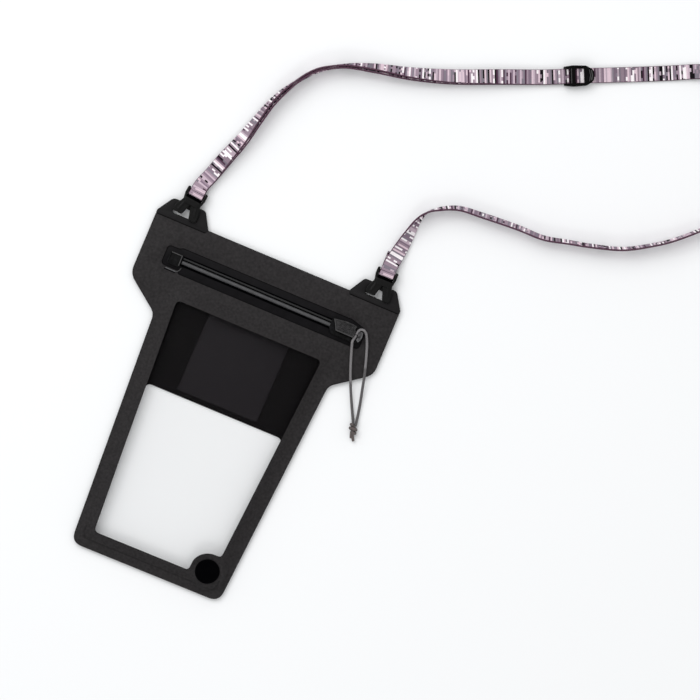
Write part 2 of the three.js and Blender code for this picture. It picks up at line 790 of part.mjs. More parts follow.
function cord(route, steps) {
  const path = new THREE.CatmullRomCurve3(route.map((p) => new THREE.Vector3(...p)));
  const section = new THREE.Shape();
  const sides = 8;
  for (let i = 0; i < sides; i++) {
    const angle = 2 * Math.PI * (i + 0.5) / sides;
    const point = [CORD_D / 2 * Math.cos(angle), CORD_D / 2 * Math.sin(angle)];
    if (i === 0) {
      section.moveTo(...point);
    } else {
      section.lineTo(...point);
    }
  }
  section.closePath();
  return new THREE.ExtrudeGeometry(section, { steps, bevelEnabled: false, extrudePath: path });
}

function knot() {
  const geometry = new THREE.SphereGeometry(1, 14, 10);
  geometry.scale(KNOT.rx, KNOT.ry, KNOT.rz);
  return geometry.translate(KNOT.x, KNOT.y, KNOT.rz + 0.1);
}

// Assembly

const pouch = new THREE.Group();
pouch.name = 'phone_pouch';

function piece(name, geometry, look, parent = pouch) {
  const mesh = new THREE.Mesh(geometry, look);
  mesh.name = name;
  parent.add(mesh);
  return mesh;
}

piece('back_panel', askew(backPanel()), material(COLOURS.back));
piece('back_window', askew(backWindow()), clearFilm);
piece('inner_strip', askew(innerStrip()), material(COLOURS.strip));
piece('front_panel', askew(frontPanel()), material(COLOURS.front));
piece('front_window', askew(frontWindow()), clearFilm);
piece('badge_disc', askew(badgeDisc()), material(COLOURS.badge, 0.2));
piece('tab_left', tab(-1, TAB_SLOTS.left), material(COLOURS.tab));
piece('tab_right', tab(1, TAB_SLOTS.right), material(COLOURS.tab));

piece('zip_base', zipBase(), material(COLOURS.zipBase, 0.4));
piece('zip_rail_lower', rail(LOWER_RAIL), material(COLOURS.rail, 0.4));
piece('zip_rail_upper', rail(UPPER_RAIL), material(COLOURS.block, 0.4));
piece('end_stop_left', endStop(LEFT_STOP), material(COLOURS.block));
piece('end_stop_right', endStop(RIGHT_STOP), material(COLOURS.block));
piece('slider_body', sliderBody(), material(COLOURS.slider));
piece('slider_tip', sliderTip(), material(COLOURS.tip));

piece('pull_cord_left', cord(LEFT_STRAND, 18), material(COLOURS.cord, 0.8));
piece('pull_cord_right', cord(RIGHT_STRAND, 20), material(COLOURS.cord, 0.8));
piece('pull_knot', knot(), material(COLOURS.cord, 0.8));
piece('pull_cord_tail', cord(TAIL, 3), material(COLOURS.cord, 0.8));

for (const [side, place] of Object.entries(HOOKS)) {
  const mesh = new THREE.Mesh(hook(), material(COLOURS.hook, 0.4));
  mesh.name = `hook_${side}`;
  pouch.add(placeHook(mesh, place));
  const turn = new THREE.Mesh(webTurn(side === 'right' ? 14 : 0), material(COLOURS.webbing, 0.9));
  turn.name = `strap_loop_${side}`;
  pouch.add(placeHook(turn, place));
}

const pair = stations(PAIR_ROUTE, PAIR_STEP);
const upper = onLayer(pair, -1);
const lower = onLayer(pair, 1);
const single = stations(SINGLE_ROUTE, SINGLE_STEP);
const webbing = material(COLOURS.webbing, 0.9);
piece('strap_long', band([...upper, ...single]), webbing);
piece('strap_return', band(lower), webbing);

const adjusterMesh = piece('strap_adjuster', adjuster(), material(COLOURS.hook, 0.4));
adjusterMesh.position.set(135.2, 295, 0);
adjusterMesh.rotation.z = Math.atan2(17, 37.2);

export default pouch;
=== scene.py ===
"""Looks of a waterproof phone pouch that lies on its back with its lanyard laid out.

Sizes are in millimetres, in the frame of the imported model, and meshes are in metres.
"""

import logging
import math
from contextlib import contextmanager
from dataclasses import dataclass, field
from enum import Enum
from typing import Iterator, Sequence

import bpy
from mathutils import Matrix, Vector


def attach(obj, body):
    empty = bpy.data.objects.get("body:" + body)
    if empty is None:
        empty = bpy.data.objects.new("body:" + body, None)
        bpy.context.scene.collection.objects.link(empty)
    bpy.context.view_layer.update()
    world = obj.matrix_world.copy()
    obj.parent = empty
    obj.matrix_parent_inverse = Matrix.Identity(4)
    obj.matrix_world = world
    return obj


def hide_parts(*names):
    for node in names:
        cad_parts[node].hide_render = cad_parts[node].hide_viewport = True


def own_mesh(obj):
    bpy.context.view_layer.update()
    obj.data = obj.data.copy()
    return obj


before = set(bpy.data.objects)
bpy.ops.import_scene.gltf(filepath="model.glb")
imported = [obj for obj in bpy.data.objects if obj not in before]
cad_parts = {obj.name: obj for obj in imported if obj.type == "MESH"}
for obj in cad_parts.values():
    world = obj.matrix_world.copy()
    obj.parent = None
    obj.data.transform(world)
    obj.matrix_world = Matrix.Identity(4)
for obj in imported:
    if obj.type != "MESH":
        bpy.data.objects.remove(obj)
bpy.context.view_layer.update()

MM = 0.001
POUCH = "pouch"
SLIDER = "slider"

# The most of a side that a rounded corner takes, and how level a rim's edge is in metres.
SIDE_SHARE = 0.49
LEVEL_WITHIN = 1e-6

# Angles for flat faces and soft edges, and how finely beads and curves are made.
FLAT_DEGREES = 1
SOFT_DEGREES = 60
BEAD_SIDES = 16
BEAD_RINGS = 10
BEAD_VOXEL = 0.1
SPLINE_STEPS = 40

Piece = bpy.types.Object
Material = bpy.types.Material
Node = bpy.types.Node
Socket = bpy.types.NodeSocket
Point = tuple[float, float]
Corner = tuple[float, float, float]
Colour = tuple[float, float, float]
Station = tuple[Vector, float, float]
Place = tuple[Vector, Vector, Vector]

log = logging.getLogger("phone_pouch")


# Mesh work

def clear_selection() -> None:
    """Leave nothing selected, so that an operator acts only on the new piece."""
    if bpy.context.mode != "OBJECT":
        bpy.ops.object.mode_set(mode="OBJECT")
    bpy.ops.object.select_all(action="DESELECT")


def make_active(piece: Piece) -> None:
    """Select one piece alone and make it the active one.

    Args:
        piece: the object to work on.
    """
    clear_selection()
    piece.select_set(True)
    bpy.context.view_layer.objects.active = piece


@contextmanager
def editing(piece: Piece, choose: str = "SELECT") -> Iterator[None]:
    """Edit mode on one piece, with all or nothing of it selected.

    Args:
        piece: the mesh object to edit.
        choose: SELECT to start with all selected, DESELECT with nothing.
    """
    make_active(piece)
    bpy.ops.object.mode_set(mode="EDIT")
    bpy.ops.mesh.select_all(action=choose)
    yield
    bpy.ops.object.mode_set(mode="OBJECT")


def settle(piece: Piece, name: str) -> Piece:
    """Name a piece and put its place, turn and scale into its mesh.

    Args:
        piece: the finished mesh object.
        name: its plain name.

    Returns:
        The same object, at the origin, unturned and unscaled.
    """
    make_active(piece)
    bpy.ops.object.transform_apply(location=True, rotation=True, scale=True)
    piece.name = name
    piece.data.name = name
    return piece


def joined(parts: Sequence[Piece]) -> Piece:
    """Join several mesh objects into the first one."""
    clear_selection()
    for part in parts:
        part.select_set(True)
    bpy.context.view_layer.objects.active = parts[0]
    if len(parts) > 1:
        bpy.ops.object.join()
    return parts[0]


def modify(piece: Piece, kind: str, **settings: object) -> None:
    """Add a modifier to a piece and apply it.

    Args:
        piece: the object to change.
        kind: the modifier's type.
        **settings: the modifier's own settings.
    """
    make_active(piece)
    modifier = piece.modifiers.new(kind.lower(), kind)
    for key, value in settings.items():
        setattr(modifier, key, value)
    bpy.ops.object.modifier_apply(modifier=modifier.name)


def smooth_shade(piece: Piece, degrees: float = 35) -> None:
    """Shade a piece smooth apart from edges sharper than an angle."""
    make_active(piece)
    bpy.ops.object.shade_smooth_by_angle(angle=math.radians(degrees))


def rounded(corners: Sequence[Corner], steps: int = 8) -> list[Point]:
    """An outline from corners (x, y, radius), each rounded by a short curve.

    Args:
        corners: the outline's corners in order.
        steps: how many straight bits a rounded corner has.

    Returns:
        The points of the closed outline.
    """
    points: list[Point] = []
    count = len(corners)
    for i, (x, y, radius) in enumerate(corners):
        here = Vector((x, y))
        before = Vector(corners[i - 1][:2]) - here
        after = Vector(corners[(i + 1) % count][:2]) - here
        if radius <= 0:
            points.append((x, y))
            continue
        half = abs(math.pi - before.angle(after)) / 2
        reach = min(radius * math.tan(half), SIDE_SHARE * before.length, SIDE_SHARE * after.length)
        start = here + before.normalized() * reach
        end = here + after.normalized() * reach
        for k in range(steps + 1):
            t = k / steps
            spot = start * (1 - t) ** 2 + here * 2 * t * (1 - t) + end * t ** 2
            points.append((spot.x, spot.y))
    return points


def rectangle(
    x0: float, x1: float, y0: float, y1: float, radius: float, steps: int = 8,
) -> list[Point]:
    """The outline of a rectangle whose corners are rounded."""
    return rounded([(x0, y0, radius), (x1, y0, radius), (x1, y1, radius), (x0, y1, radius)], steps)


def mirrored(corners: Sequence[Corner]) -> list[Corner]:
    """The corners and their mirror images across X = 0, as one closed outline."""
    return [*corners, *((-x, y, r) for x, y, r in reversed(corners))]


def circle_points(x: float, y: float, radius: float, count: int = 48) -> list[Point]:
    """Points round a circle."""
    angles = (2 * math.pi * i / count for i in range(count))
    return [(x + radius * math.cos(a), y + radius * math.sin(a)) for a in angles]


def loop_of(points: Sequence[Point], z: float) -> Piece:
    """A closed loop of edges through points, made from a circle.

    Args:
        points: the loop's points.
        z: its height.

    Returns:
        The new object.
    """
    clear_selection()
    bpy.ops.mesh.primitive_circle_add(vertices=len(points), radius=MM, fill_type="NOTHING")
    loop = bpy.context.object
    for vertex, (x, y) in zip(loop.data.vertices, points):
        vertex.co = (x * MM, y * MM, z * MM)
    return loop


def select_rims(piece: Piece, least_degrees: float = 50) -> None:
    """Select the level edges where two faces of a plate meet sharply.

    Args:
        piece: the mesh object, in object mode.
        least_degrees: the least angle between the two faces.
    """
    mesh = piece.data
    normals: dict[int, list[Vector]] = {}
    for face in mesh.polygons:
        for key in face.edge_keys:
            normals.setdefault(hash(key), []).append(face.normal)
    for edge in mesh.edges:
        first, second = (mesh.vertices[i].co for i in edge.vertices)
        pair = normals.get(hash(tuple(sorted(edge.vertices))), [])
        level = abs(first.z - second.z) < LEVEL_WITHIN
        sharp = len(pair) == 2 and pair[0].angle(pair[1], 0) > math.radians(least_degrees)
        edge.select = level and sharp


def plate(
    outlines: Sequence[Sequence[Point]], low: float, high: float, edge: float, segments: int = 2,
) -> Piece:
    """A flat plate with rounded rims: loops filled, extruded and bevelled.

    Args:
        outlines: the outer outline and any holes.
        low: height of its underside.
        high: height of its top.
        edge: width of the rounding of its rims, or 0.
        segments: steps of that rounding.

    Returns:
        The closed plate.
    """
    piece = joined([loop_of(points, low) for points in outlines])
    with editing(piece):
        bpy.ops.mesh.fill(use_beauty=False)
        bpy.ops.mesh.select_all(action="SELECT")
        bpy.ops.mesh.dissolve_limited(angle_limit=math.radians(FLAT_DEGREES))
        bpy.ops.mesh.select_all(action="SELECT")
        bpy.ops.mesh.extrude_region_move(
            TRANSFORM_OT_translate={"value": (0, 0, (high - low) * MM)},
        )
        bpy.ops.mesh.select_all(action="SELECT")
        bpy.ops.mesh.normals_make_consistent(inside=False)
    if edge > 0:
        with editing(piece, "DESELECT"):
            bpy.ops.mesh.select_mode(type="EDGE")
        select_rims(piece)
        bpy.ops.object.mode_set(mode="EDIT")
        bpy.ops.mesh.bevel(offset=edge * MM, segments=segments, affect="EDGES", clamp_overlap=True)
        bpy.ops.object.mode_set(mode="OBJECT")
    return piece


def slab(
    corners: Sequence[Corner], low: float, high: float, edge: float, segments: int = 2,
    steps: int = 8,
) -> Piece:
    """A plate with one outline.

    Args:
        corners: the outline's corners (x, y, radius) in order.
        low: height of its underside.
        high: height of its top.
        edge: width of the rounding of its rims.
        segments: steps of that rounding.
        steps: how many straight bits a rounded corner has.

    Returns:
        The closed plate.
    """
    return plate([rounded(corners, steps)], low, high, edge, segments)


def cut_cells(piece: Piece, xs: Sequence[float], ys: Sequence[float]) -> None:
    """Cut a plate's faces along level lines, so that it can follow a curved form.

    Args:
        piece: the plate.
        xs: where to cut across X.
        ys: where to cut across Y.
    """
    cuts = [((x * MM, 0, 0), (1, 0, 0)) for x in xs] + [((0, y * MM, 0), (0, 1, 0)) for y in ys]
    with editing(piece):
        for place, normal in cuts:
            bpy.ops.mesh.select_all(action="SELECT")
            bpy.ops.mesh.bisect(plane_co=place, plane_no=normal)


def sink_top(piece: Piece, rim: float, slope: float, depth: float) -> None:
    """Sink the top of a plate inside a rim that stays.

    Args:
        piece: the plate.
        rim: width of the rim.
        slope: width of the slope inside it.
        depth: how far the top is sunk.
    """
    with editing(piece, "DESELECT"):
        bpy.ops.mesh.select_mode(type="FACE")
    top = max(piece.data.polygons, key=lambda face: (round(face.center.z, 6), face.area))
    top.select = True
    bpy.ops.object.mode_set(mode="EDIT")
    bpy.ops.mesh.inset(thickness=rim * MM)
    bpy.ops.mesh.inset(thickness=slope * MM)
    bpy.ops.transform.translate(value=(0, 0, -depth * MM))
    bpy.ops.object.mode_set(mode="OBJECT")


def block(x0: float, x1: float, y0: float, y1: float, z0: float, z1: float) -> Piece:
    """A plain block between two corners, as raw stock for a moulded piece."""
    clear_selection()
    centre = ((x0 + x1) / 2 * MM, (y0 + y1) / 2 * MM, (z0 + z1) / 2 * MM)
    bpy.ops.mesh.primitive_cube_add(size=1, location=centre)
    piece = bpy.context.object
    piece.scale = ((x1 - x0) * MM, (y1 - y0) * MM, (z1 - z0) * MM)
    bpy.ops.object.transform_apply(location=True, rotation=True, scale=True)
    return piece


def rod(start: Vector, end: Vector, radius: float, sides: int = 24) -> Piece:
    """A round rod between two points, in millimetres."""
    clear_selection()
    way = end - start
    bpy.ops.mesh.primitive_cylinder_add(
        vertices=sides, radius=radius * MM, depth=way.length * MM,
        location=(start + end) / 2 * MM, rotation=way.to_track_quat("Z", "Y").to_euler(),
    )
    bpy.ops.object.transform_apply(location=True, rotation=True, scale=True)
    return bpy.context.object


def dots(
    rows: int, columns: int, start: Corner, pitch: Point, shift: Point, radius: float,
) -> list[Piece]:
    """Small balls in staggered rows, as raw stock for pips or knurls.

    Args:
        rows: how many rows there are.
        columns: how many balls a row has.
        start: the middle of the first ball.
        pitch: the way between two balls and between two rows.
        shift: how far every second row is moved right, and each row left of the last.
        radius: a ball's radius.

    Returns:
        The balls.
    """
    x, y, z = start
    balls = []
    for row in range(rows):
        for column in range(columns):
            across = x + column * pitch[0] + (row % 2) * shift[0] - row * shift[1]
            place = (across * MM, (y + row * pitch[1]) * MM, z * MM)
            clear_selection()
            bpy.ops.mesh.primitive_ico_sphere_add(subdivisions=2, radius=radius * MM, location=place)
            balls.append(bpy.context.object)
    return balls


def bead(points: Sequence[Corner], radius: float) -> Piece:
    """A round bead through points, with round ends, moulded in one.

    Args:
        points: its route, in millimetres.
        radius: its radius.

    Returns:
        The bead.
    """
    spots = [Vector(point) for point in points]
    parts = [rod(start, end, radius, BEAD_SIDES) for start, end in zip(spots, spots[1:])]
    for spot in spots:
        clear_selection()
        bpy.ops.mesh.primitive_uv_sphere_add(
            segments=BEAD_SIDES, ring_count=BEAD_RINGS, radius=radius * MM, location=spot * MM,
        )
        parts.append(bpy.context.object)
    return moulded(parts, BEAD_VOXEL, 2)


def moulded(parts: Sequence[Piece], voxel: float, rounds: int = 4) -> Piece:
    """One moulded body from overlapping stock, with soft edges as from a mould.

    Args:
        parts: the closed shells to fuse.
        voxel: the cell that sets how fine its edges are.
        rounds: how often it is smoothed.

    Returns:
        The fused piece.
    """
    piece = joined(parts)
    modify(piece, "REMESH", mode="VOXEL", voxel_size=voxel * MM)
    modify(piece, "SMOOTH", factor=0.5, iterations=rounds)
    smooth_shade(piece, SOFT_DEGREES)
    return piece


def carve(piece: Piece, tool: Piece) -> None:
    """Cut a tool's shape out of a piece and throw the tool away."""
    modify(piece, "BOOLEAN", operation="DIFFERENCE", object=tool, solver="EXACT")
    bpy.data.objects.remove(tool, do_unlink=True)


# Finishes

def linear(colour: Colour) -> tuple[float, float, float, float]:
    """A colour given in 0 to 255 as the shader wants it."""
    def channel(value: float) -> float:
        """One channel, by the standard curve for screens."""
        share = value / 255
        return share / 12.92 if share <= 0.04045 else ((share + 0.055) / 1.055) ** 2.4
    return (channel(colour[0]), channel(colour[1]), channel(colour[2]), 1.0)


def shaded(colour: Colour, factor: float) -> tuple[float, float, float, float]:
    """A colour given in 0 to 255 as the shader wants it, brightened or darkened by a factor."""
    return (*(Vector(linear(colour)[:3]) * factor), 1.0)


class Bench:
    """A short way to add and join the nodes of one material."""

    def __init__(self, name: str) -> None:
        """Start a material with its one shader."""
        self.material = bpy.data.materials.new(name)
        self.material.use_nodes = True
        self.tree = self.material.node_tree
        self.shader = self.tree.nodes["Principled BSDF"]

    def add(self, kind: str, inputs: dict[str, object] | None = None, **settings: object) -> Node:
        """Add one node.

        Args:
            kind: the node's type without its ShaderNode prefix.
            inputs: values for its sockets.
            **settings: its own settings.

        Returns:
            The new node.
        """
        node = self.tree.nodes.new(f"ShaderNode{kind}")
        for key, value in settings.items():
            setattr(node, key, value)
        for key, value in (inputs or {}).items():
            node.inputs[key].default_value = value
        return node

    def join(self, source: Socket, target: Socket) -> None:
        """Join an output socket to an input socket."""
        self.tree.links.new(source, target)

    def math(self, operation: str, *values: Socket | float) -> Socket:
        """A math node on sockets or numbers, and its result."""
        node = self.add("Math", operation=operation)
        for socket, value in zip(node.inputs, values):
            if isinstance(value, (int, float)):
                socket.default_value = value
            else:
                self.join(value, socket)
        return node.outputs[0]

    def wave(self, source: Socket, turns: float) -> Socket:
        """A sine that makes so many turns for one unit of a source."""
        return self.math("SINE", self.math("MULTIPLY", source, turns * 2 * math.pi))

    def split(self, source: Socket) -> tuple[Socket, Socket]:
        """The first two values of a place or of a UV."""
        node = self.add("SeparateXYZ")
        self.join(source, node.inputs[0])
        return node.outputs[0], node.outputs[1]

    def toned(self, colour: Socket, value: Socket) -> Socket:
        """A colour with its brightness multiplied by a value."""
        node = self.add("HueSaturation")
        self.join(colour, node.inputs["Color"])
        self.join(value, node.inputs["Value"])
        return node.outputs[0]

    def ramp(
        self, source: Socket, stops: Sequence[tuple[float, tuple]], stepped: bool = False,
    ) -> Socket:
        """A colour ramp over a source, and its colour."""
        node = self.add("ValToRGB")
        if stepped:
            node.color_ramp.interpolation = "CONSTANT"
        elements = node.color_ramp.elements
        while len(elements) < len(stops):
            elements.new(1.0)
        for element, (place, colour) in zip(elements, stops):
            element.position = place
            element.color = colour
        self.join(source, node.inputs[0])
        return node.outputs[0]

    def clouded(self, colour: Colour, share: float, clouds: Socket, edges: Point) -> Socket:
        """A colour that clouds darken and brighten by a share, between two values of theirs."""
        dark, light = edges
        return self.ramp(clouds, [
            (dark, shaded(colour, 1 - share)), (light, shaded(colour, 1 + share)),
        ])

    def noise(self, place: Socket, scale: float, detail: float = 2.0) -> Socket:
        """A noise of so many cells a metre, and its value."""
        node = self.add("TexNoise", {"Scale": scale, "Detail": detail})
        self.join(place, node.inputs["Vector"])
        return node.outputs["Fac"]

    def bump(self, height: Socket, distance: float, strength: float = 1.0) -> None:
        """Let a height in metres times a distance shape the shading."""
        node = self.add("Bump", {"Distance": distance, "Strength": strength})
        self.join(height, node.inputs["Height"])
        self.join(node.outputs[0], self.shader.inputs["Normal"])

    def here(self) -> Socket:
        """The object's own coordinates."""
        return self.add("TexCoord").outputs["Object"]

    def uv(self) -> tuple[Socket, Socket]:
        """The two UV values of a swept piece: round or across it, and along it."""
        return self.split(self.add("UVMap", uv_map="UVMap").outputs[0])

    def set(self, **values: object) -> None:
        """Set shader sockets, with underscores for the spaces in their names."""
        for key, value in values.items():
            self.shader.inputs[key.replace("_", " ")].default_value = value


@dataclass(frozen=True)
class GrainFinish:
    """A matt or satin plastic with a fine grain and faint cloudy variation, and painted shade along a
    pressed seam where it has one.
    """

    name: str
    colour: Colour
    roughness: float = 0.6
    specular: float = 0.25
    grain_scale: float = 2600
    grain_depth: float = 0.00004
    cloud: float = 0.12
    cloud_scale: float = 60
    cloud_edges: Point = (0.3, 0.7)
    spread: float = 0.16
    seam_depth: float = 0.0
    seam_inset: float = 5.9
    seam_half: float = 0.8
    seam_top: float = -0.1035
    seam_painted_shade: float = 0.42

    def material(self) -> Material:
        """Build the finish as nodes."""
        bench = Bench(self.name)
        place = bench.here()
        clouds = bench.noise(place, self.cloud_scale, 4)
        colour = bench.clouded(self.colour, self.cloud, clouds, self.cloud_edges)
        height = bench.noise(place, self.grain_scale, 2)
        if self.seam_depth > 0:
            seam = self._seam(bench, place)
            # Painted shade: the colour darkens along the pressed seam.
            shade = bench.math("MULTIPLY", seam, self.seam_painted_shade)
            colour = bench.toned(colour, bench.math("SUBTRACT", 1.0, shade))
            height = bench.math("SUBTRACT", height, bench.math("MULTIPLY", seam, self.seam_depth))
        bench.join(colour, bench.shader.inputs["Base Color"])
        patches = bench.noise(place, self.cloud_scale * 3, 3)
        least = self.roughness - self.spread / 2
        roughness = bench.math("MULTIPLY_ADD", patches, self.spread, least)
        bench.join(roughness, bench.shader.inputs["Roughness"])
        bench.bump(height, self.grain_depth)
        bench.set(Specular_IOR_Level=self.specular)
        return bench.material

    def _seam(self, bench: Bench, place: Socket) -> Socket:
        """How deep a welded line is pressed, at a set way in from the sheet's foot."""
        away = bench.add("Attribute", attribute_name="edge_mm").outputs["Fac"]
        off = bench.math("ABSOLUTE", bench.math("SUBTRACT", away, self.seam_inset))
        line = bench.math("SUBTRACT", 1.0, bench.math("DIVIDE", off, self.seam_half))
        line = bench.math("MAXIMUM", line, 0.0)
        low = bench.math("LESS_THAN", bench.split(place)[1], self.seam_top)
        return bench.math("MULTIPLY", line, low)


@dataclass(frozen=True)
class FilmFinish:
    """Clear flexible film, which shows a gloss only where it is seen at a slant."""

    name: str
    colour: Colour
    alpha: float
    slant_alpha: float
    slant_blend: float = 0.35
    slant_power: float = 4.0
    roughness: float = 0.1
    specular: float = 0.5

    def material(self) -> Material:
        """Build the finish as nodes."""
        bench = Bench(self.name)
        slant = bench.add("LayerWeight", {"Blend": self.slant_blend}).outputs["Facing"]
        rise = bench.math("POWER", slant, self.slant_power)
        alpha = bench.math("ADD", bench.math("MULTIPLY", rise, self.slant_alpha), self.alpha)
        bench.join(alpha, bench.shader.inputs["Alpha"])
        bench.set(
            Base_Color=linear(self.colour), Roughness=self.roughness,
            Specular_IOR_Level=self.specular,
        )
        return bench.material


@dataclass(frozen=True)
class GlossFinish:
    """Smooth hard plastic with a soft gloss."""

    name: str
    colour: Colour
    roughness: float = 0.25
    specular: float = 0.4
    tint: float = 0.15
    tint_scale: float = 220
    tint_edges: Point = (0.35, 0.65)
    ripple: float = 0.00002
    ripple_scale: float = 900

    def material(self) -> Material:
        """Build the finish as nodes."""
        bench = Bench(self.name)
        place = bench.here()
        clouds = bench.noise(place, self.tint_scale, 3)
        colour = bench.clouded(self.colour, self.tint, clouds, self.tint_edges)
        bench.join(colour, bench.shader.inputs["Base Color"])
        bench.bump(bench.noise(place, self.ripple_scale, 3), self.ripple)
        bench.set(Roughness=self.roughness, Specular_IOR_Level=self.specular)
        return bench.material


class Weave(Enum):
    """The threads that the webbing's crosswise dashes are woven in."""

    GROUND = (150, 132, 145)
    GROUND_DARK = (128, 111, 126)
    GROUND_PALE = (188, 170, 182)
    GROUND_GREY = (126, 118, 129)
    WHITE = (246, 240, 243)
    PINK = (216, 194, 205)
    PLUM = (74, 50, 68)
    BLACK = (16, 12, 17)
    EDGE = (82, 57, 72)


class Draw(Enum):
    """What a random value of a row decides, as the second number that picks it."""

    DASH = 0.5
    SHIFT = 1.5
    GROUND = 3.5
    WHOLE = 5.5
    TONE = 7.5
    DASHED = 9.5


GROUND_FROM = (
    (0.0, Weave.GROUND), (0.35, Weave.GROUND_DARK), (0.6, Weave.GROUND_PALE),
    (0.85, Weave.GROUND_GREY),
)
DASH_FROM = (
    (0.0, Weave.GROUND_GREY), (0.12, Weave.WHITE), (0.44, Weave.PINK), (0.66, Weave.PLUM),
    (0.78, Weave.BLACK),
)


@dataclass(frozen=True)
class WebbingFinish:
    """Flat woven webbing with crosswise dashes, each row of them in one thread.

    The UV map runs 0 to 1 across the webbing, and one unit for each width along it.
    """

    name: str
    rows: float = 9.0
    columns: float = 4.0
    column_shift: float = 2.0
    shown: float = 0.62
    whole_over: float = 0.8
    dashed_over: float = 0.4
    zones: float = 0.55
    tone_least: float = 0.83
    tone_range: float = 0.34
    selvage: float = 0.466
    ribs: float = 11.0
    rib_share: float = 0.4
    relief: float = 0.00010
    roughness: float = 0.85
    specular: float = 0.12

    def material(self) -> Material:
        """Build the finish as nodes."""
        bench = Bench(self.name)
        across, along = bench.uv()
        row = bench.math("FLOOR", bench.math("MULTIPLY", along, self.rows))
        zone = bench.math("FLOOR", bench.math("MULTIPLY", along, self.zones))
        draw = self._random(bench, zone, Draw.TONE)
        tone = bench.math("MULTIPLY_ADD", draw, self.tone_range, self.tone_least)
        ground = bench.toned(self._threads(bench, row, Draw.GROUND, GROUND_FROM), tone)
        thread = self._threads(bench, row, Draw.DASH, DASH_FROM)
        colour = self._mix(bench, self._dashes(bench, row, across), ground, thread)
        middle = bench.math("ABSOLUTE", bench.math("SUBTRACT", across, 0.5))
        edge = bench.math("GREATER_THAN", middle, self.selvage)
        edge_colour = bench.add("RGB").outputs[0]
        edge_colour.default_value = linear(Weave.EDGE.value)
        colour = self._mix(bench, edge, colour, edge_colour)
        bench.join(colour, bench.shader.inputs["Base Color"])
        ribs = bench.math("MULTIPLY", bench.wave(across, self.ribs), self.rib_share)
        bench.bump(bench.math("ADD", ribs, bench.wave(along, self.rows)), self.relief)
        bench.set(Roughness=self.roughness, Specular_IOR_Level=self.specular)
        return bench.material

    def _dashes(self, bench: Bench, row: Socket, across: Socket) -> Socket:
        """Where the dashes of a row show: 1 on a dash and 0 beside it."""
        shift = bench.math("MULTIPLY", self._random(bench, row, Draw.SHIFT), self.column_shift)
        place = bench.math("ADD", bench.math("MULTIPLY", across, self.columns), shift)
        column = bench.math("FLOOR", place)
        seen = bench.math("LESS_THAN", self._random(bench, row, column), self.shown)
        whole = bench.math("GREATER_THAN", self._random(bench, row, Draw.WHOLE), self.whole_over)
        dashed = bench.math("GREATER_THAN", self._random(bench, row, Draw.DASHED), self.dashed_over)
        return bench.math("MULTIPLY", bench.math("MAXIMUM", seen, whole), dashed)

    def _threads(
        self, bench: Bench, row: Socket, draw: Draw, threads: Sequence[tuple[float, Weave]],
    ) -> Socket:
        """The colour that a draw picks for a row, from threads with the values they start at."""
        stops = [(start, linear(thread.value)) for start, thread in threads]
        return bench.ramp(self._random(bench, row, draw), stops, stepped=True)

    @staticmethod
    def _mix(bench: Bench, share: Socket, first: Socket, second: Socket) -> Socket:
        """Mix two colours by a share, and the result."""
        node = bench.add("Mix", data_type="RGBA")
        for name, socket in (("Factor_Float", share), ("A_Color", first), ("B_Color", second)):
            target = next(item for item in node.inputs if item.identifier == name)
            bench.join(socket, target)
        return next(item for item in node.outputs if item.identifier == "Result_Color")

    @staticmethod
    def _random(bench: Bench, number: Socket, other: Socket | Draw) -> Socket:
        """A value from 0 to 1 that a whole number and a draw, or two whole numbers, pick."""
        pair = bench.add("CombineXYZ")
        bench.join(number, pair.inputs[0])
        if isinstance(other, Draw):
            pair.inputs[1].default_value = other.value
        else:
            bench.join(other, pair.inputs[1])
        pick = bench.add("TexWhiteNoise", noise_dimensions="2D")
        bench.join(pair.outputs[0], pick.inputs["Vector"])
        return pick.outputs["Value"]


@dataclass(frozen=True)
class BraidFinish:
    """Thin round braided cord, its strands crossing at a slant, with painted shade in the hollows
    between strands, painted highlight on their crests, painted shade towards the cord's sides and
    painted shade darkening its lower half.
    """

    name: str
    colour: Colour
    strands: float = 6.0
    pitch: float = 2.2
    valley_shade: float = 0.55
    ridge_highlight: float = 1.25
    side_light: float = 1.1
    side_power: float = 1.4
    painted_shade_from: float = 17.5
    painted_shade_rate: float = 0.5
    most_painted_shade: float = 0.5
    relief: float = 0.00012
    roughness: float = 0.75
    specular: float = 0.2
    sheen: float = 0.2

    def material(self) -> Material:
        """Build the finish as nodes."""
        bench = Bench(self.name)
        round_, along = bench.uv()
        lean = bench.math("MULTIPLY", along, self.pitch)
        turn = bench.math("MULTIPLY", round_, self.strands)
        right = bench.wave(bench.math("ADD", turn, lean), 1)
        left = bench.wave(bench.math("SUBTRACT", turn, lean), 1)
        height = bench.math("MAXIMUM", right, left)
        # Painted shade in the hollows between strands and painted highlight on their crests.
        colour = bench.ramp(height, [
            (0.0, shaded(self.colour, self.valley_shade)), (1.0, shaded(self.colour, self.ridge_highlight)),
        ])
        # Painted shade: the cord darkens towards its sides, as a round cord is lit.
        facing = bench.add("LayerWeight").outputs["Facing"]
        side = bench.math("SUBTRACT", self.side_light, bench.math("POWER", facing, self.side_power))
        # Painted shade: darker along the cord's lower half, past a set length along its run.
        past = bench.math("MULTIPLY", bench.math("SUBTRACT", along, self.painted_shade_from), self.painted_shade_rate)
        run_shade = bench.math("MINIMUM", bench.math("MAXIMUM", past, 0.0), self.most_painted_shade)
        tone = bench.math("MULTIPLY", side, bench.math("SUBTRACT", 1.0, run_shade))
        bench.join(bench.toned(colour, tone), bench.shader.inputs["Base Color"])
        bench.bump(height, self.relief)
        bench.set(
            Roughness=self.roughness, Specular_IOR_Level=self.specular, Sheen_Weight=self.sheen,
        )
        return bench.material


Recipe = GrainFinish | FilmFinish | GlossFinish | WebbingFinish | BraidFinish


def made(recipe: Recipe) -> Material:
    """A field of the finishes, whose material is built with the others."""
    return field(default_factory=recipe.material)


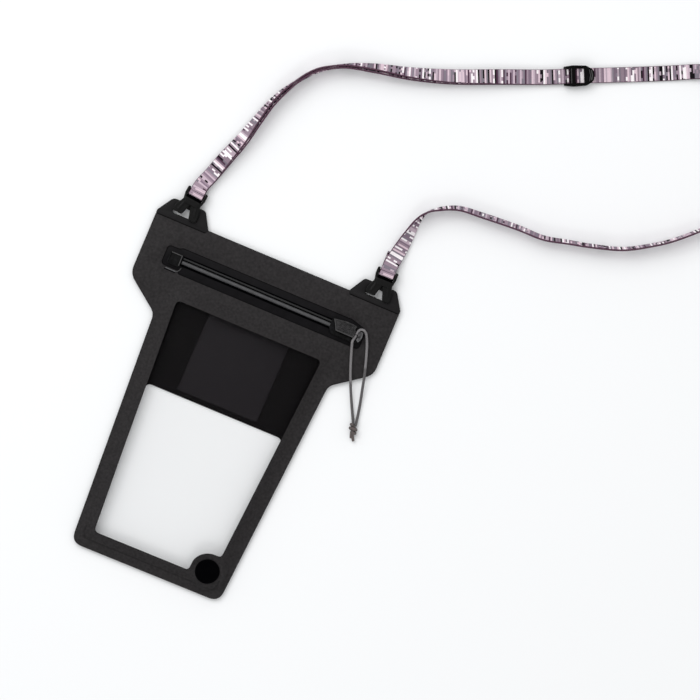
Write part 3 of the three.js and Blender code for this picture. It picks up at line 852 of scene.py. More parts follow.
@dataclass
class Finishes:
    """Every finish of the pouch, built once."""

    front: Material = made(GrainFinish(
        "charcoal_sheet", (35, 33, 34), 0.65, 0.16, grain_scale=1100, grain_depth=0.00007,
        cloud=0.34, cloud_scale=600, seam_depth=2.2))
    back: Material = made(GrainFinish("black_sheet", (10, 8, 9), 0.6, 0.03, cloud=0.15))
    strip: Material = made(GrainFinish(
        "grey_strip", (23, 20, 23), 0.65, 0.1, cloud=0.2, cloud_scale=420))
    tab: Material = made(GrainFinish(
        "tab_plastic", (20, 19, 20), 0.5, 0.12, grain_scale=1500, cloud=0.12, cloud_scale=300))
    film: Material = made(FilmFinish("clear_film", (190, 196, 200), 0.002, 0.12))
    zip_base: Material = made(GlossFinish("zip_black", (17, 16, 18), 0.4, 0.05))
    rail: Material = made(GlossFinish("rail_grey", (62, 62, 64), 0.3, 0.4))
    rail_dark: Material = made(GlossFinish("rail_dark", (26, 26, 27), 0.32, 0.3))
    moulding: Material = made(GrainFinish(
        "zip_moulding", (37, 36, 37), 0.4, 0.28, grain_scale=1200, grain_depth=0.00018,
        cloud=0.85, cloud_scale=620))
    shade: Material = made(GrainFinish(
        "zip_shade", (12, 12, 13), 0.42, 0.07, grain_scale=1100, grain_depth=0.00015,
        cloud=0.85, cloud_scale=420))
    # Painted shadow: a flat black for strips and a step that stand for shade.
    deep: Material = made(GlossFinish("painted_shadow_black", (3, 3, 4), 0.5, 0.0))
    # Painted highlights: lighter greys for beads that stand for light catching edges and rims.
    lip: Material = made(GlossFinish("bright_highlight_grey", (84, 84, 86), 0.3, 0.4))
    bead: Material = made(GlossFinish("soft_highlight_grey", (58, 57, 58), 0.35, 0.35))
    tip: Material = made(GrainFinish(
        "knurled_grey", (66, 65, 67), 0.5, 0.3, grain_scale=1200, grain_depth=0.0003,
        cloud=1.0, cloud_scale=620))
    hook: Material = made(GrainFinish(
        "hook_black", (11, 11, 11), 0.3, 0.12, grain_scale=1500, cloud=0.1))
    slide: Material = made(GlossFinish("slide_black", (5, 5, 5), 0.22, 0.06))
    badge: Material = made(GlossFinish("badge_black", (2, 2, 3), 0.25, 0.01))
    webbing: Material = made(WebbingFinish("dashed_webbing"))
    cord: Material = made(BraidFinish("grey_braid", (126, 123, 125)))
    # A darker, browner braid for the knot and the cord's cut ends.
    knot: Material = made(BraidFinish("darker_braid", (98, 88, 86)))


def dress(piece: Piece, finish: Material) -> None:
    """Give a new piece its one finish."""
    piece.data.materials.clear()
    piece.data.materials.append(finish)


def stand_in(
    piece: Piece, finish: Material, name: str, body: str, slot: str, *nodes: str,
    smooth: float | None = None,
) -> None:
    """Dress and settle a new piece, tie it to its body and let it stand for its CAD nodes.

    Args:
        piece: the finished mesh.
        finish: its one finish.
        name: its plain name.
        body: the body that it moves with.
        slot: not used.
        *nodes: the CAD nodes that it replaces.
        smooth: the angle in degrees up to which its edges are shaded smooth, where they aren't yet.
    """
    dress(piece, finish)
    if smooth is not None:
        smooth_shade(piece, smooth)
    settle(piece, name)
    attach(piece, body)
    if nodes:
        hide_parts(*nodes)
    log.info("%s: %d faces", name, len(piece.data.polygons))


def side_name(side: int) -> str:
    """Left for -1 and right for 1."""
    return "left" if side < 0 else "right"


# Pouch

def soft_step(t: float) -> float:
    """A smooth rise from 0 to 1 as t goes from 0 to 1."""
    t = min(1.0, max(0.0, t))
    return t * t * (3 - 2 * t)


@dataclass
class Pocket:
    """The pouch's outline and how its front rises over a phone, in millimetres."""

    wing_half: float = 86.9
    bottom_y: float = -117.35
    top_edge_y: float = 106.3
    tab_line_y: float = 104.2
    leg_bottom_half: float = 52.6
    leg_top_half: float = 61.9
    leg_top_y: float = 35.0
    leg_corner: float = 8.0
    shoulder_y: float = 42.4
    shoulder_corner: float = 9.0
    wing_low_y: float = 60.6
    wing_corner: float = 11.0
    back_t: float = 0.8
    gap: float = 0.3
    front_t: float = 1.4
    film_t: float = 0.5
    seam_step: float = 0.9
    rise: float = 7.2
    seam_share: float = 0.93
    crown_share: float = 0.66
    seam_bottom_y: float = -113.5
    crown_bottom_y: float = -97.5
    crown_top_y: float = 50.0
    seam_top_y: float = 68.0
    badge: Point = (37.75, -101.1)
    badge_level: float = 5.2
    badge_flat: float = 9.4
    badge_blend: float = 4.6
    tab_foot_x: float = 50.5
    tab_step: float = 1.2
    cell: int = 3
    cells_half_x: int = 60
    cells_low_y: int = -114
    cells_high_y: int = 69
    first_step: float = 4.0
    askew_from_y: float = 60.0
    lean: float = 0.0103
    tilt: float = 0.000065

    @property
    def front_low(self) -> float:
        """Height of the front sheet's underside at the seam."""
        return self.back_t + self.gap

    def leg_half(self, y: float) -> float:
        """Half width of the leg at a height y."""
        share = (y - self.bottom_y) / (self.leg_top_y - self.bottom_y)
        return self.leg_bottom_half + share * (self.leg_top_half - self.leg_bottom_half)

    def lift(self, x: float, y: float) -> float:
        """How far the front stands over its seam at a place.

        It takes a first step at the seam and then rises softly to the crown, and it stays
        level under the badge.
        """
        share = abs(x) / self.leg_half(y)
        across = (self.seam_share - share) / (self.seam_share - self.crown_share)
        below = (y - self.seam_bottom_y) / (self.crown_bottom_y - self.seam_bottom_y)
        above = (self.seam_top_y - y) / (self.seam_top_y - self.crown_top_y)
        step = min(1.0, max(0.0, self.first_step * min(across, below, above)))
        crown = self.seam_step * step
        crown += self.rise * soft_step(across) * soft_step(below) * soft_step(above)
        away = math.hypot(x - self.badge[0], y - self.badge[1])
        free = soft_step((away - self.badge_flat) / self.badge_blend)
        return self.badge_level + (crown - self.badge_level) * free

    def body_corners(self, line: float) -> list[Corner]:
        """The pouch's outline below its tabs, which start at a line."""
        return mirrored([
            (self.leg_bottom_half, self.bottom_y, self.leg_corner),
            (self.leg_half(self.shoulder_y), self.shoulder_y, self.shoulder_corner),
            (self.wing_half, self.wing_low_y, self.wing_corner),
            (self.wing_half, line, 0),
            (self.tab_foot_x + self.tab_step, line, 0),
            (self.tab_foot_x, self.top_edge_y, 0),
        ])

    def raise_sheet(self, piece: Piece) -> None:
        """Cut a flat sheet into square cells and lift it over the pocket."""
        xs = range(-self.cells_half_x, self.cells_half_x + 1, self.cell)
        ys = range(self.cells_low_y, self.cells_high_y + 1, self.cell)
        cut_cells(piece, xs, ys)
        for vertex in piece.data.vertices:
            x, y = vertex.co.x / MM, vertex.co.y / MM
            vertex.co.z += self.lift(x, y) * MM

    def lay_askew(self, piece: Piece) -> None:
        """Lean a soft sheet below a level, and tilt its foot, as such a sheet lies."""
        for vertex in piece.data.vertices:
            x, y = vertex.co.x / MM, vertex.co.y / MM
            depth = max(0.0, self.askew_from_y - y)
            vertex.co.x -= self.lean * depth * MM
            vertex.co.y += self.tilt * x * depth * MM


@dataclass
class FrontSheet:
    """The charcoal front with its window and zip cut-outs, and the clear window."""

    pocket: Pocket
    window_top_y: float = 56.2
    window_bottom_y: float = -105.3
    window_top_half: float = 51.6
    window_bottom_half: float = 41.4
    window_corner: float = 3.5
    surround: float = 12.0
    surround_foot_x: float = -11.9
    surround_degrees: tuple[int, int, int] = (165, 85, -5)
    surround_corner: float = 4.5
    tab_gap: float = 0.45
    edge: float = 0.35
    film_lap: float = 3.5
    film_corners: Point = (6.0, 4.0)

    def window_half(self, y: float) -> float:
        """Half width of the window at a height y."""
        share = (y - self.window_bottom_y) / (self.window_top_y - self.window_bottom_y)
        return self.window_bottom_half + share * (self.window_top_half - self.window_bottom_half)

    def window_outline(self) -> list[Point]:
        """The window, whose lower right corner goes round the badge."""
        x, y = self.pocket.badge
        top = y + self.surround
        arc = []
        for degrees in range(*self.surround_degrees):
            angle = math.radians(degrees)
            arc.append((x + self.surround * math.cos(angle), y + self.surround * math.sin(angle), 0))
        return rounded([
            (-self.window_bottom_half, self.window_bottom_y, self.window_corner),
            (x + self.surround_foot_x, self.window_bottom_y, self.window_corner),
            *arc,
            (self.window_half(top), top, self.surround_corner),
            (self.window_top_half, self.window_top_y, self.window_corner),
            (-self.window_top_half, self.window_top_y, self.window_corner),
        ])

    def build(self, zip_outline: Sequence[Point], finishes: Finishes) -> None:
        """Build the front sheet and the film under it.

        Args:
            zip_outline: the cut-out for the zip.
            finishes: the finishes to dress them with.
        """
        pocket = self.pocket
        low = pocket.front_low
        outline = rounded(pocket.body_corners(pocket.tab_line_y - self.tab_gap), 12)
        holes = [self.window_outline(), zip_outline]
        sheet = plate([outline, *holes], low, low + pocket.front_t, self.edge)
        pocket.raise_sheet(sheet)
        self._mark_edges(sheet, outline)
        pocket.lay_askew(sheet)
        stand_in(sheet, finishes.front, "front_sheet", POUCH, "front_sheet", "front_panel", smooth=30)
        lap = self.film_lap
        low_corner, high_corner = self.film_corners
        film_outline = rounded(mirrored([
            (self.window_bottom_half + lap, self.window_bottom_y - lap, low_corner),
            (self.window_top_half + lap, self.window_top_y + lap, high_corner),
        ]))
        top = low - pocket.gap
        film = plate([film_outline], top - pocket.film_t, top, 0)
        pocket.raise_sheet(film)
        pocket.lay_askew(film)
        stand_in(film, finishes.film, "front_film", POUCH, "clear_film", "front_window", smooth=40)

    @staticmethod
    def _mark_edges(sheet: Piece, outline: Sequence[Point]) -> None:
        """Note on each vertex how far in from the outer edge it is."""
        ends = [Vector(point) for point in outline]
        sides = list(zip(ends, ends[1:] + ends[:1]))
        mark = sheet.data.attributes.new("edge_mm", "FLOAT", "POINT")
        for vertex in sheet.data.vertices:
            spot = Vector((vertex.co.x / MM, vertex.co.y / MM))
            nearest = 1e9
            for start, end in sides:
                way = end - start
                t = min(1.0, max(0.0, (spot - start).dot(way) / max(way.length_squared, 1e-9)))
                nearest = min(nearest, (start + way * t - spot).length)
            mark.data[vertex.index].value = nearest


@dataclass
class BackSheet:
    """The black back, its clear window, and the grey strip inside it."""

    pocket: Pocket
    window_top_y: float = -1.7
    window_top_half: float = 48.4
    window_bottom_y: float = -105.3
    window_bottom_half: float = 41.4
    corner: float = 3.5
    strip_half: float = 28.3
    strip_top_y: float = 60.0
    strip_bottom_y: float = 2.0
    strip_t: float = 0.4
    strip_corner: float = 1.0
    edge: float = 0.25
    film_edge: float = 0.15
    strip_edge: float = 0.12

    def window_outline(self, shrink: float) -> list[Point]:
        """The back window's outline, made smaller by a set amount."""
        return rounded(mirrored([
            (self.window_bottom_half - shrink, self.window_bottom_y + shrink, self.corner),
            (self.window_top_half - shrink, self.window_top_y - shrink, self.corner),
        ]))

    def build(self, finishes: Finishes) -> None:
        """Build the back sheet, the window film and the strip."""
        pocket = self.pocket
        outline = rounded(pocket.body_corners(pocket.tab_line_y), 12)
        sheet = plate([outline, self.window_outline(0)], 0, pocket.back_t, self.edge)
        pocket.lay_askew(sheet)
        stand_in(sheet, finishes.back, "back_sheet", POUCH, "back_sheet", "back_panel", smooth=30)
        film = plate([self.window_outline(pocket.gap)], 0, pocket.film_t, self.film_edge)
        pocket.lay_askew(film)
        stand_in(film, finishes.film, "back_film", POUCH, "clear_film", "back_window", smooth=30)
        low = pocket.front_low
        strip_outline = rounded(mirrored([
            (self.strip_half, self.strip_bottom_y, self.strip_corner),
            (self.strip_half, self.strip_top_y, self.strip_corner),
        ]))
        strip = plate([strip_outline], low, low + self.strip_t, self.strip_edge)
        pocket.lay_askew(strip)
        stand_in(strip, finishes.strip, "inner_band", POUCH, "strip", "inner_strip", smooth=30)


@dataclass
class Tab:
    """One tab at a top corner, with the slot for a hook."""

    side: int
    slot_x: float
    pocket: Pocket
    top_y: float = 117.5
    thickness: float = 2.9
    slot_half: float = 8.25
    slot_low_y: float = 108.3
    slot_high_y: float = 113.9
    slot_corner: float = 2.0
    shoulder_y: float = 106.4
    outer_x: float = 79.8
    inner_x: float = 57.0
    edge: float = 0.45

    def build(self, finishes: Finishes) -> None:
        """Build the tab."""
        pocket, side = self.pocket, self.side
        outline = rounded([
            (side * pocket.wing_half, pocket.tab_line_y, 0.4),
            (side * pocket.wing_half, self.shoulder_y, 1.5),
            (side * self.outer_x, self.top_y, 4),
            (side * self.inner_x, self.top_y, 3),
            (side * pocket.tab_foot_x, pocket.top_edge_y, 0.4),
            (side * (pocket.tab_foot_x + pocket.tab_step), pocket.tab_line_y, 0.4),
        ], 10)
        left, right = self.slot_x - self.slot_half, self.slot_x + self.slot_half
        slot = rectangle(left, right, self.slot_low_y, self.slot_high_y, self.slot_corner, 10)
        tab = plate([outline, slot], 0, self.thickness, self.edge, 3)
        name = side_name(side)
        stand_in(tab, finishes.tab, f"slotted_tab_{name}", POUCH, "tab", f"tab_{name}", smooth=35)


@dataclass
class Badge:
    """The round badge, bare black gloss with a fine raised rim."""

    pocket: Pocket
    radius: float = 8.1
    thickness: float = 0.8
    edge: float = 0.3
    rim: float = 0.5
    rim_slope: float = 0.2
    rim_height: float = 0.15

    def build(self, finishes: Finishes) -> None:
        """Build the badge."""
        pocket = self.pocket
        x, y = pocket.badge
        low = pocket.front_low + pocket.badge_level + pocket.front_t + pocket.gap
        outline = circle_points(x, y, self.radius, 96)
        disc = plate([outline], low, low + self.thickness, self.edge, 3)
        sink_top(disc, self.rim, self.rim_slope, self.rim_height)
        pocket.lay_askew(disc)
        stand_in(disc, finishes.badge, "bare_badge", POUCH, "badge", "badge_disc", smooth=35)


# Zip

@dataclass
class Zip:
    """The toothless zip: its base, two sealing rails and two end stops."""

    pocket: Pocket
    half: float = 71.2
    low_y: float = 72.1
    high_y: float = 89.3
    narrow_low_y: float = 74.2
    narrow_high_y: float = 88.0
    corner: float = 3.0
    low_bend_x: Point = (-59.4, -57.6)
    high_bend_x: Point = (-61.0, -63.5)
    bend: float = 1.2
    slant_side_y: float = 85.6
    slant_middle: Point = (67.0, 87.4)
    slant_top_x: float = 60.0
    base_t: float = 0.7
    base_edge: float = 0.15
    rail_x0: float = -58.2
    rail_x1: float = 65.0
    foot_share: float = 0.96
    # Thin black strips of painted shadow below, between and above the rails, with their sizes.
    shadow_strip_lead: float = 0.6
    shadow_strip_edge: float = 0.3
    shadow_strip_sink: float = 0.2
    shadow_strip_skin: float = 0.03
    shadow_strips: tuple[tuple[str, float, float], ...] = (
        ("lower", 77.6, 78.9), ("middle", 81.7, 82.1), ("upper", 83.7, 84.5),
    )
    stop_corner: float = 1.4
    stop_edge: float = 0.35
    stop_rim: float = 0.9
    dish_depth: float = 0.9
    dish_corner: float = 0.8
    stop_voxel: float = 0.12
    stop_bead: float = 0.36
    lip_drop: float = 1.1
    lip_bead: float = 0.42
    turned_bead: float = 0.38

    @property
    def floor(self) -> float:
        """Height of the base's top, where the rails stand."""
        return self.pocket.front_low + self.base_t

    def outline(self, shrink: float) -> list[Point]:
        """The outline of the base, narrower round the left stop.

        Args:
            shrink: how far it stays inside its cut-out, or 0 for the cut-out itself.

        Returns:
            The outline's points.
        """
        left, right = shrink - self.half, self.half - shrink
        low, high = self.low_y + shrink, self.high_y - shrink
        narrow_low, narrow_high = self.narrow_low_y + shrink, self.narrow_high_y - shrink
        slant_x, slant_y = self.slant_middle
        return rounded([
            (left, narrow_low, self.corner),
            (self.low_bend_x[0], narrow_low, self.bend),
            (self.low_bend_x[1], low, self.bend),
            (right, low, self.corner),
            (right, self.slant_side_y - shrink, 2),
            (slant_x, slant_y - shrink, 1.5),
            (self.slant_top_x, high, 3),
            (self.high_bend_x[0], high, self.bend),
            (self.high_bend_x[1], narrow_high, self.bend),
            (left, narrow_high, self.corner),
        ])

    def build(self, finishes: Finishes) -> None:
        """Build the base, the rails, the stops, the lip under the left stop, and thin black strips of
        painted shadow beside and between the rails.
        """
        outline = self.outline(self.pocket.gap)
        base = plate([outline], self.pocket.front_low, self.floor, self.base_edge)
        stand_in(base, finishes.zip_base, "zip_floor", POUCH, "zip_base", "zip_base", smooth=30)
        self._rail("lower", 80.3, 2.5, 2.6, finishes.rail)
        self._rail("upper", 82.9, 1.3, 1.7, finishes.rail_dark)
        self._stop("left", -67.8, -58.9, 76.4, 84.8, 4.2, finishes)
        self._stop("right", 65.4, 69.6, 79.2, 83.9, 2.4, finishes)
        self._lip(finishes)
        # Painted shadow: thin black strips on the base where the rails cast shade.
        left, right = self.rail_x0 - self.shadow_strip_lead, self.rail_x1
        low, high = self.floor - self.shadow_strip_sink, self.floor + self.shadow_strip_skin
        for name, y0, y1 in self.shadow_strips:
            outline = rectangle(left, right, y0, y1, self.shadow_strip_edge, 4)
            shadow_strip = plate([outline], low, high, 0)
            stand_in(shadow_strip, finishes.deep, f"rail_shadow_strip_{name}", POUCH, "zip_base")

    def _rail(self, name: str, y: float, width: float, height: float, finish: Material) -> None:
        """Build one rail: a round bead on a flat foot.

        Args:
            name: lower or upper.
            y: where it runs.
            width: the bead's width.
            height: from the base to the bead's top.
            finish: its finish.
        """
        low = self.floor + self.pocket.gap / 2
        radius = width / 2
        bead_z = low + height - radius
        bead = rod(Vector((self.rail_x0, y, bead_z)), Vector((self.rail_x1, y, bead_z)), radius, 40)
        half = radius * self.foot_share
        foot = block(self.rail_x0, self.rail_x1, y - half, y + half, low, bead_z)
        modify(bead, "BOOLEAN", operation="UNION", object=foot, solver="EXACT")
        bpy.data.objects.remove(foot, do_unlink=True)
        stand_in(bead, finish, f"sealing_rail_{name}", POUCH, "zip_rail", f"zip_rail_{name}", smooth=40)

    def _stop(
        self, name: str, x0: float, x1: float, y0: float, y1: float, height: float,
        finishes: Finishes,
    ) -> None:
        """Build one end stop: a block whose top is dished inside a raised rim.

        Args:
            name: left or right.
            x0: its left side.
            x1: its right side.
            y0: its lower side.
            y1: its upper side.
            height: from the base to its rim.
            finishes: the finishes to dress it with.
        """
        low = self.floor + self.pocket.gap / 2
        z = low + height
        outline = rectangle(x0, x1, y0, y1, self.stop_corner, 6)
        stop = plate([outline], low, z, self.stop_edge, 3)
        rim = self.stop_rim
        inner = rectangle(x0 + rim, x1 - rim, y0 + rim, y1 - rim, self.dish_corner, 6)
        dish = plate([inner], z - self.dish_depth, z + 1, 0)
        carve(stop, dish)
        stop = moulded([stop], self.stop_voxel, 2)
        stand_in(stop, finishes.shade, f"end_block_{name}", POUCH, "end_stop", f"end_stop_{name}")
        # Painted highlight: a lighter bead along the block's top and right rim.
        edge = bead([
            (x0 + 1.1, y1 - 0.55, z), (x1 - 0.6, y1 - 0.6, z), (x1 - 0.5, y0 + 1.2, z),
        ], self.stop_bead)
        stand_in(edge, finishes.bead, f"block_rim_highlight_{name}", POUCH, "end_stop")

    def _lip(self, finishes: Finishes) -> None:
        """Build the bead that is moulded along the sheet under the left stop, in a painted highlight
        grey, with a thin black strip of painted shadow under it and a bead of painted highlight turning
        up at its right end.
        """
        top = self.pocket.front_low + self.pocket.front_t
        y = self.narrow_low_y - self.lip_drop
        # The lip bead, in a painted highlight grey.
        lip = bead([(-66.8, y, top), (-60.4, y, top)], self.lip_bead)
        stand_in(lip, finishes.lip, "moulded_lip", POUCH, "zip_rail")
        # Painted shadow: a thin black strip under the lip.
        outline = rectangle(-67.9, -60.0, y - 1.15, y - 0.45, self.shadow_strip_edge, 4)
        shadow_strip = plate([outline], top - 0.5, top + 0.04, 0)
        stand_in(shadow_strip, finishes.deep, "lip_shadow_strip", POUCH, "zip_base")
        # Painted highlight: a lighter bead where the lip turns up.
        turn = bead([
            (-59.9, y + 0.1, top), (-58.8, y + 0.6, top), (-57.9, y + 1.7, top - 0.2),
            (-57.4, y + 3.4, top - 0.5),
        ], self.turned_bead)
        stand_in(turn, finishes.bead, "turned_lip_highlight", POUCH, "zip_rail")


@dataclass
class Slider:
    """The zip's slider: a ledge astride the rails, a textured grip and a knurled tip."""

    zip: Zip
    x0: float = 48.3
    x1: float = 70.4
    y0: float = 74.6
    y1: float = 86.8
    ledge_z: float = 5.2
    top_z: float = 8.4
    channel_y0: float = 78.4
    channel_y1: float = 84.4
    channel_z: float = 4.8
    pip: float = 0.5
    knurl: float = 0.36
    clearance: float = 0.3
    ledge_edge: float = 0.5
    foot_edge: float = 0.3
    ledge_voxel: float = 0.15
    grip_edge: float = 0.35
    grip_voxel: float = 0.11
    grip_bead: float = 0.38
    tip_edge: float = 0.5
    tip_voxel: float = 0.1
    tip_bead: float = 0.34
    rim: float = 0.75
    sunk: float = 0.5

    def build(self, finishes: Finishes) -> None:
        """Build the body and the tip."""
        low = self.zip.floor + self.clearance
        ledge = plate([self._ledge_outline()], low, self.ledge_z, self.ledge_edge, 3)
        foot = slab([
            (52.6, 75.3, 0.8), (64.4, 74.9, 0.8), (64.4, 77.6, 0.8), (52.2, 77.6, 0.8),
        ], self.ledge_z - 0.8, self.ledge_z + 0.35, self.foot_edge)
        body = moulded([ledge, foot], self.ledge_voxel, 2)
        channel = block(
            self.x0 - 5, self.x1 + 5, self.channel_y0, self.channel_y1, 0, self.channel_z,
        )
        carve(body, channel)
        stand_in(body, finishes.shade, "zip_slider", SLIDER, "slider", "slider_body", smooth=60)
        grip = plate([self._grip_outline(0)], self.ledge_z - 0.15, self.top_z, self.grip_edge, 3)
        floor = self.top_z - self.sunk
        carve(grip, plate([self._grip_outline(self.rim)], floor, self.top_z + 1, 0))
        pips = dots(5, 9, (53.9, 79.9, floor), (1.2, 1.25), (0.6, 0.25), self.pip)
        grip = moulded([grip, *pips], self.grip_voxel, 1)
        stand_in(grip, finishes.moulding, "finger_grip", SLIDER, "slider")
        # Painted highlight: a lighter bead along the grip's left slant and lower edge.
        z = self.top_z - 0.15
        edge = bead([
            (self.x0 + 0.75, 84.9, z), (50.95, 81.8, z), (52.6, 78.55, z), (64.6, 78.45, z),
        ], self.grip_bead)
        stand_in(edge, finishes.bead, "grip_edge", SLIDER, "slider")
        self._tip(finishes)

    def _ledge_outline(self) -> list[Point]:
        """The outline of the ledge, which narrows at both ends."""
        return rounded([
            (self.x0 + 1.2, self.y0 + 0.6, 1.5), (66.6, self.y0, 1.5), (self.x1, 76.8, 2),
            (self.x1, 83.9, 1.5), (66.2, self.y1 - 0.8, 1.5), (self.x0, self.y1 - 0.4, 1.5),
            (self.x0 - 0.7, 84.6, 0.8), (self.x0 - 0.7, 78.4, 0.8),
        ])

    def _grip_outline(self, rim: float) -> list[Point]:
        """The grip's outline, or that of its sunk top inside a rim."""
        return rounded([
            (52.4 + rim, 78.2 + rim, 0.6), (65.1 - rim, 78.1 + rim, 0.6),
            (65.0 - rim, 82.6 - rim, 0.5), (64.2 - rim, 84.0 - rim, 0.5),
            (65.0 - rim, 86.2 - rim, 0.8), (57.5, 86.6 - rim, 3),
            (self.x0 + 1.4 * rim, 85.2 - rim, 0.8), (50.6 + rim, 81.8, 1.5),
        ])

    def _tip(self, finishes: Finishes) -> None:
        """Build the knurled tip."""
        low, high = self.ledge_z + 0.3, self.top_z - 0.3
        tip = slab([
            (67.3, 77.6, 0.6), (69, 76.5, 0.8), (70.3, 80.4, 1.6), (69.4, 84.1, 1), (67.3, 83.2, 0.8),
        ], low, high - 0.2, self.tip_edge, 3)
        knurls = dots(6, 3, (67.7, 77.9, high - 0.25), (0.85, 1.05), (0.3, 0), self.knurl)
        tip = moulded([tip, *knurls], self.tip_voxel, 1)
        stand_in(tip, finishes.tip, "knurled_tip", SLIDER, "slider_tip", "slider_tip")
        # Painted highlight: a bright bead round the tip's right and lower edges.
        z = high - 0.35
        edge = bead([
            (69.5, 83.4, z), (70.05, 80.6, z), (69.6, 78.4, z), (68.8, 76.9, z), (67.7, 77.7, z),
        ], self.tip_bead)
        stand_in(edge, finishes.lip, "tip_edge", SLIDER, "slider_tip")


# Cords and webbing

def spline(points: Sequence[Sequence[float]], spacing: float) -> list[tuple[Vector, float]]:
    """Even places on the smooth curve through given points.

    Args:
        points: the route's points, whose first three values are x, y and z.
        spacing: the way between two places.

    Returns:
        Each place, and where it falls among the points as a number of points.
    """
    knots = [Vector(point[:3]) for point in points]
    ends = [2 * knots[0] - knots[1], *knots, 2 * knots[-1] - knots[-2]]
    fine: list[tuple[Vector, float]] = []
    for i in range(len(knots) - 1):
        a, b, c, d = ends[i:i + 4]
        ta, tb, tc = ((q - p).length ** 0.5 for p, q in ((a, b), (b, c), (c, d)))
        leave = ((b - a) / ta - (c - a) / (ta + tb) + (c - b) / tb) * tb
        reach = ((c - b) / tb - (d - b) / (tb + tc) + (d - c) / tc) * tb
        for k in range(SPLINE_STEPS + (i == len(knots) - 2)):
            t = k / SPLINE_STEPS
            spot = b * (2 * t ** 3 - 3 * t ** 2 + 1) + leave * (t ** 3 - 2 * t ** 2 + t)
            spot += c * (3 * t ** 2 - 2 * t ** 3) + reach * (t ** 3 - t ** 2)
            fine.append((spot, i + t))
    run = [0.0]
    for (p, _), (q, _) in zip(fine, fine[1:]):
        run.append(run[-1] + (q - p).length)
    count = max(2, round(run[-1] / spacing))
    places = []
    at = 0
    for k in range(count + 1):
        want = run[-1] * k / count
        while at < len(run) - 2 and run[at + 1] < want:
            at += 1
        share = (want - run[at]) / max(run[at + 1] - run[at], 1e-9)
        (p, s), (q, e) = fine[at], fine[at + 1]
        places.append((p.lerp(q, share), s + (e - s) * share))
    return places


def sweep(
    name: str, rings: Sequence[Sequence[Vector]], run: Sequence[float], unit: float,
) -> Piece:
    """A closed tube through rings of points, with a UV map along it.

    Args:
        name: the mesh's name.
        rings: the tube's sections, each with the same number of points, in millimetres.
        run: how far along the route each ring is.
        unit: the length that one unit of V stands for.

    Returns:
        The tube, closed at both ends.
    """
    sides = len(rings[0])
    vertices = [point * MM for ring in rings for point in ring]
    faces = []
    for r in range(len(rings) - 1):
        for s in range(sides):
            t = (s + 1) % sides
            faces.append((r * sides + s, r * sides + t, (r + 1) * sides + t, (r + 1) * sides + s))
    first = tuple(reversed(range(sides)))
    last = tuple(range((len(rings) - 1) * sides, len(rings) * sides))
    mesh = bpy.data.meshes.new(name)
    mesh.from_pydata(vertices, [], [*faces, first, last])
    uv = mesh.uv_layers.new(name="UVMap").data
    for face in mesh.polygons:
        for k, corner in enumerate(face.loop_indices):
            vertex = mesh.loops[corner].vertex_index
            ring, side = divmod(vertex, sides)
            round_ = side / sides
            if side == 0 and k in (1, 2) and len(face.vertices) == 4:
                round_ = 1.0
            uv[corner].uv = (round_, run[ring] / unit)
    piece = bpy.data.objects.new(name, mesh)
    bpy.context.scene.collection.objects.link(piece)
    with editing(piece):
        bpy.ops.mesh.normals_make_consistent(inside=False)
    smooth_shade(piece, SOFT_DEGREES)
    return piece


@dataclass
class Webbing:
    """Flat webbing that lies along a route, twisting onto its edge in the curves."""

    width: float = 10.0
    thickness: float = 1.2
    spacing: float = 1.6

    def stations(self, route: Sequence[Sequence[float]]) -> list[Station]:
        """Places along a route, each with its twist and its half gap.

        Args:
            route: points of x, y, height of the lowest edge, twist in degrees and,
                for two layers, half the distance between them.

        Returns:
            The middle of the webbing, its twist in radians and its half gap.
        """
        points = []
        for x, y, low, twist, *gap in route:
            turn = math.radians(twist)
            off = gap[0] if gap else 0.0
            level = abs(math.cos(turn))
            z = low + self.width / 2 * math.sin(turn) + (off + self.thickness / 2) * level
            points.append((x, y, z))
        result = []
        for place, at in spline(points, self.spacing):
            i = min(int(at), len(route) - 2)
            share = at - i
            before, after = route[i], route[i + 1]
            twist = before[3] + (after[3] - before[3]) * share
            gap = before[4] + (after[4] - before[4]) * share if len(before) > 4 else 0.0
            result.append((place, math.radians(twist), gap))
        return result

    def frames(self, stations: Sequence[Station]) -> list[tuple[Vector, Vector]]:
        """The webbing's width and normal directions at each station."""
        result = []
        for i, (_, twist, _) in enumerate(stations):
            ahead = stations[min(i + 1, len(stations) - 1)][0]
            behind = stations[max(i - 1, 0)][0]
            along = (ahead - behind).normalized()
            flat = Vector((along.y, -along.x, 0)).normalized()
            rise = flat.cross(along).normalized()
            across = flat * math.cos(twist) + rise * math.sin(twist)
            result.append((across, along.cross(across).normalized()))
        return result

    def layer(self, stations: Sequence[Station], side: int) -> list[Place]:
        """Places of one of two layers: the middle, its width and its normal."""
        return [
            (place + normal * side * gap, across, normal)
            for (place, _, gap), (across, normal) in zip(stations, self.frames(stations))
        ]

    def band(self, name: str, places: Sequence[Place]) -> Piece:
        """The webbing's mesh, with thick woven selvages at its two edges.

        Args:
            name: the mesh's name.
            places: the middle, the width direction and the normal at each place.

        Returns:
            The band, with a UV map across and along it.
        """
        half, thick = self.width / 2, self.thickness / 2
        profile = [
            (half, 0.0), (half - 0.08, 0.75), (half - 0.35, 1.0), (half - 0.9, 0.95),
            (half - 1.3, 0.82), (0.0, 0.86), (1.3 - half, 0.82), (0.9 - half, 0.95),
            (0.35 - half, 1.0), (0.08 - half, 0.75),
        ]
        section = profile + [(-x, -y) for x, y in profile]
        rings, run, last = [], [], None
        for middle, across, normal in places:
            run.append(0.0 if last is None else run[-1] + (middle - last).length)
            last = middle
            rings.append([middle + across * x + normal * y * thick for x, y in section])
        piece = sweep(name, rings, run, self.width)
        uv = piece.data.uv_layers["UVMap"].data
        sides = len(section)
        for corner in piece.data.loops:
            side = corner.vertex_index % sides
            uv[corner.index].uv.x = 0.5 + section[side][0] / self.width
        return piece


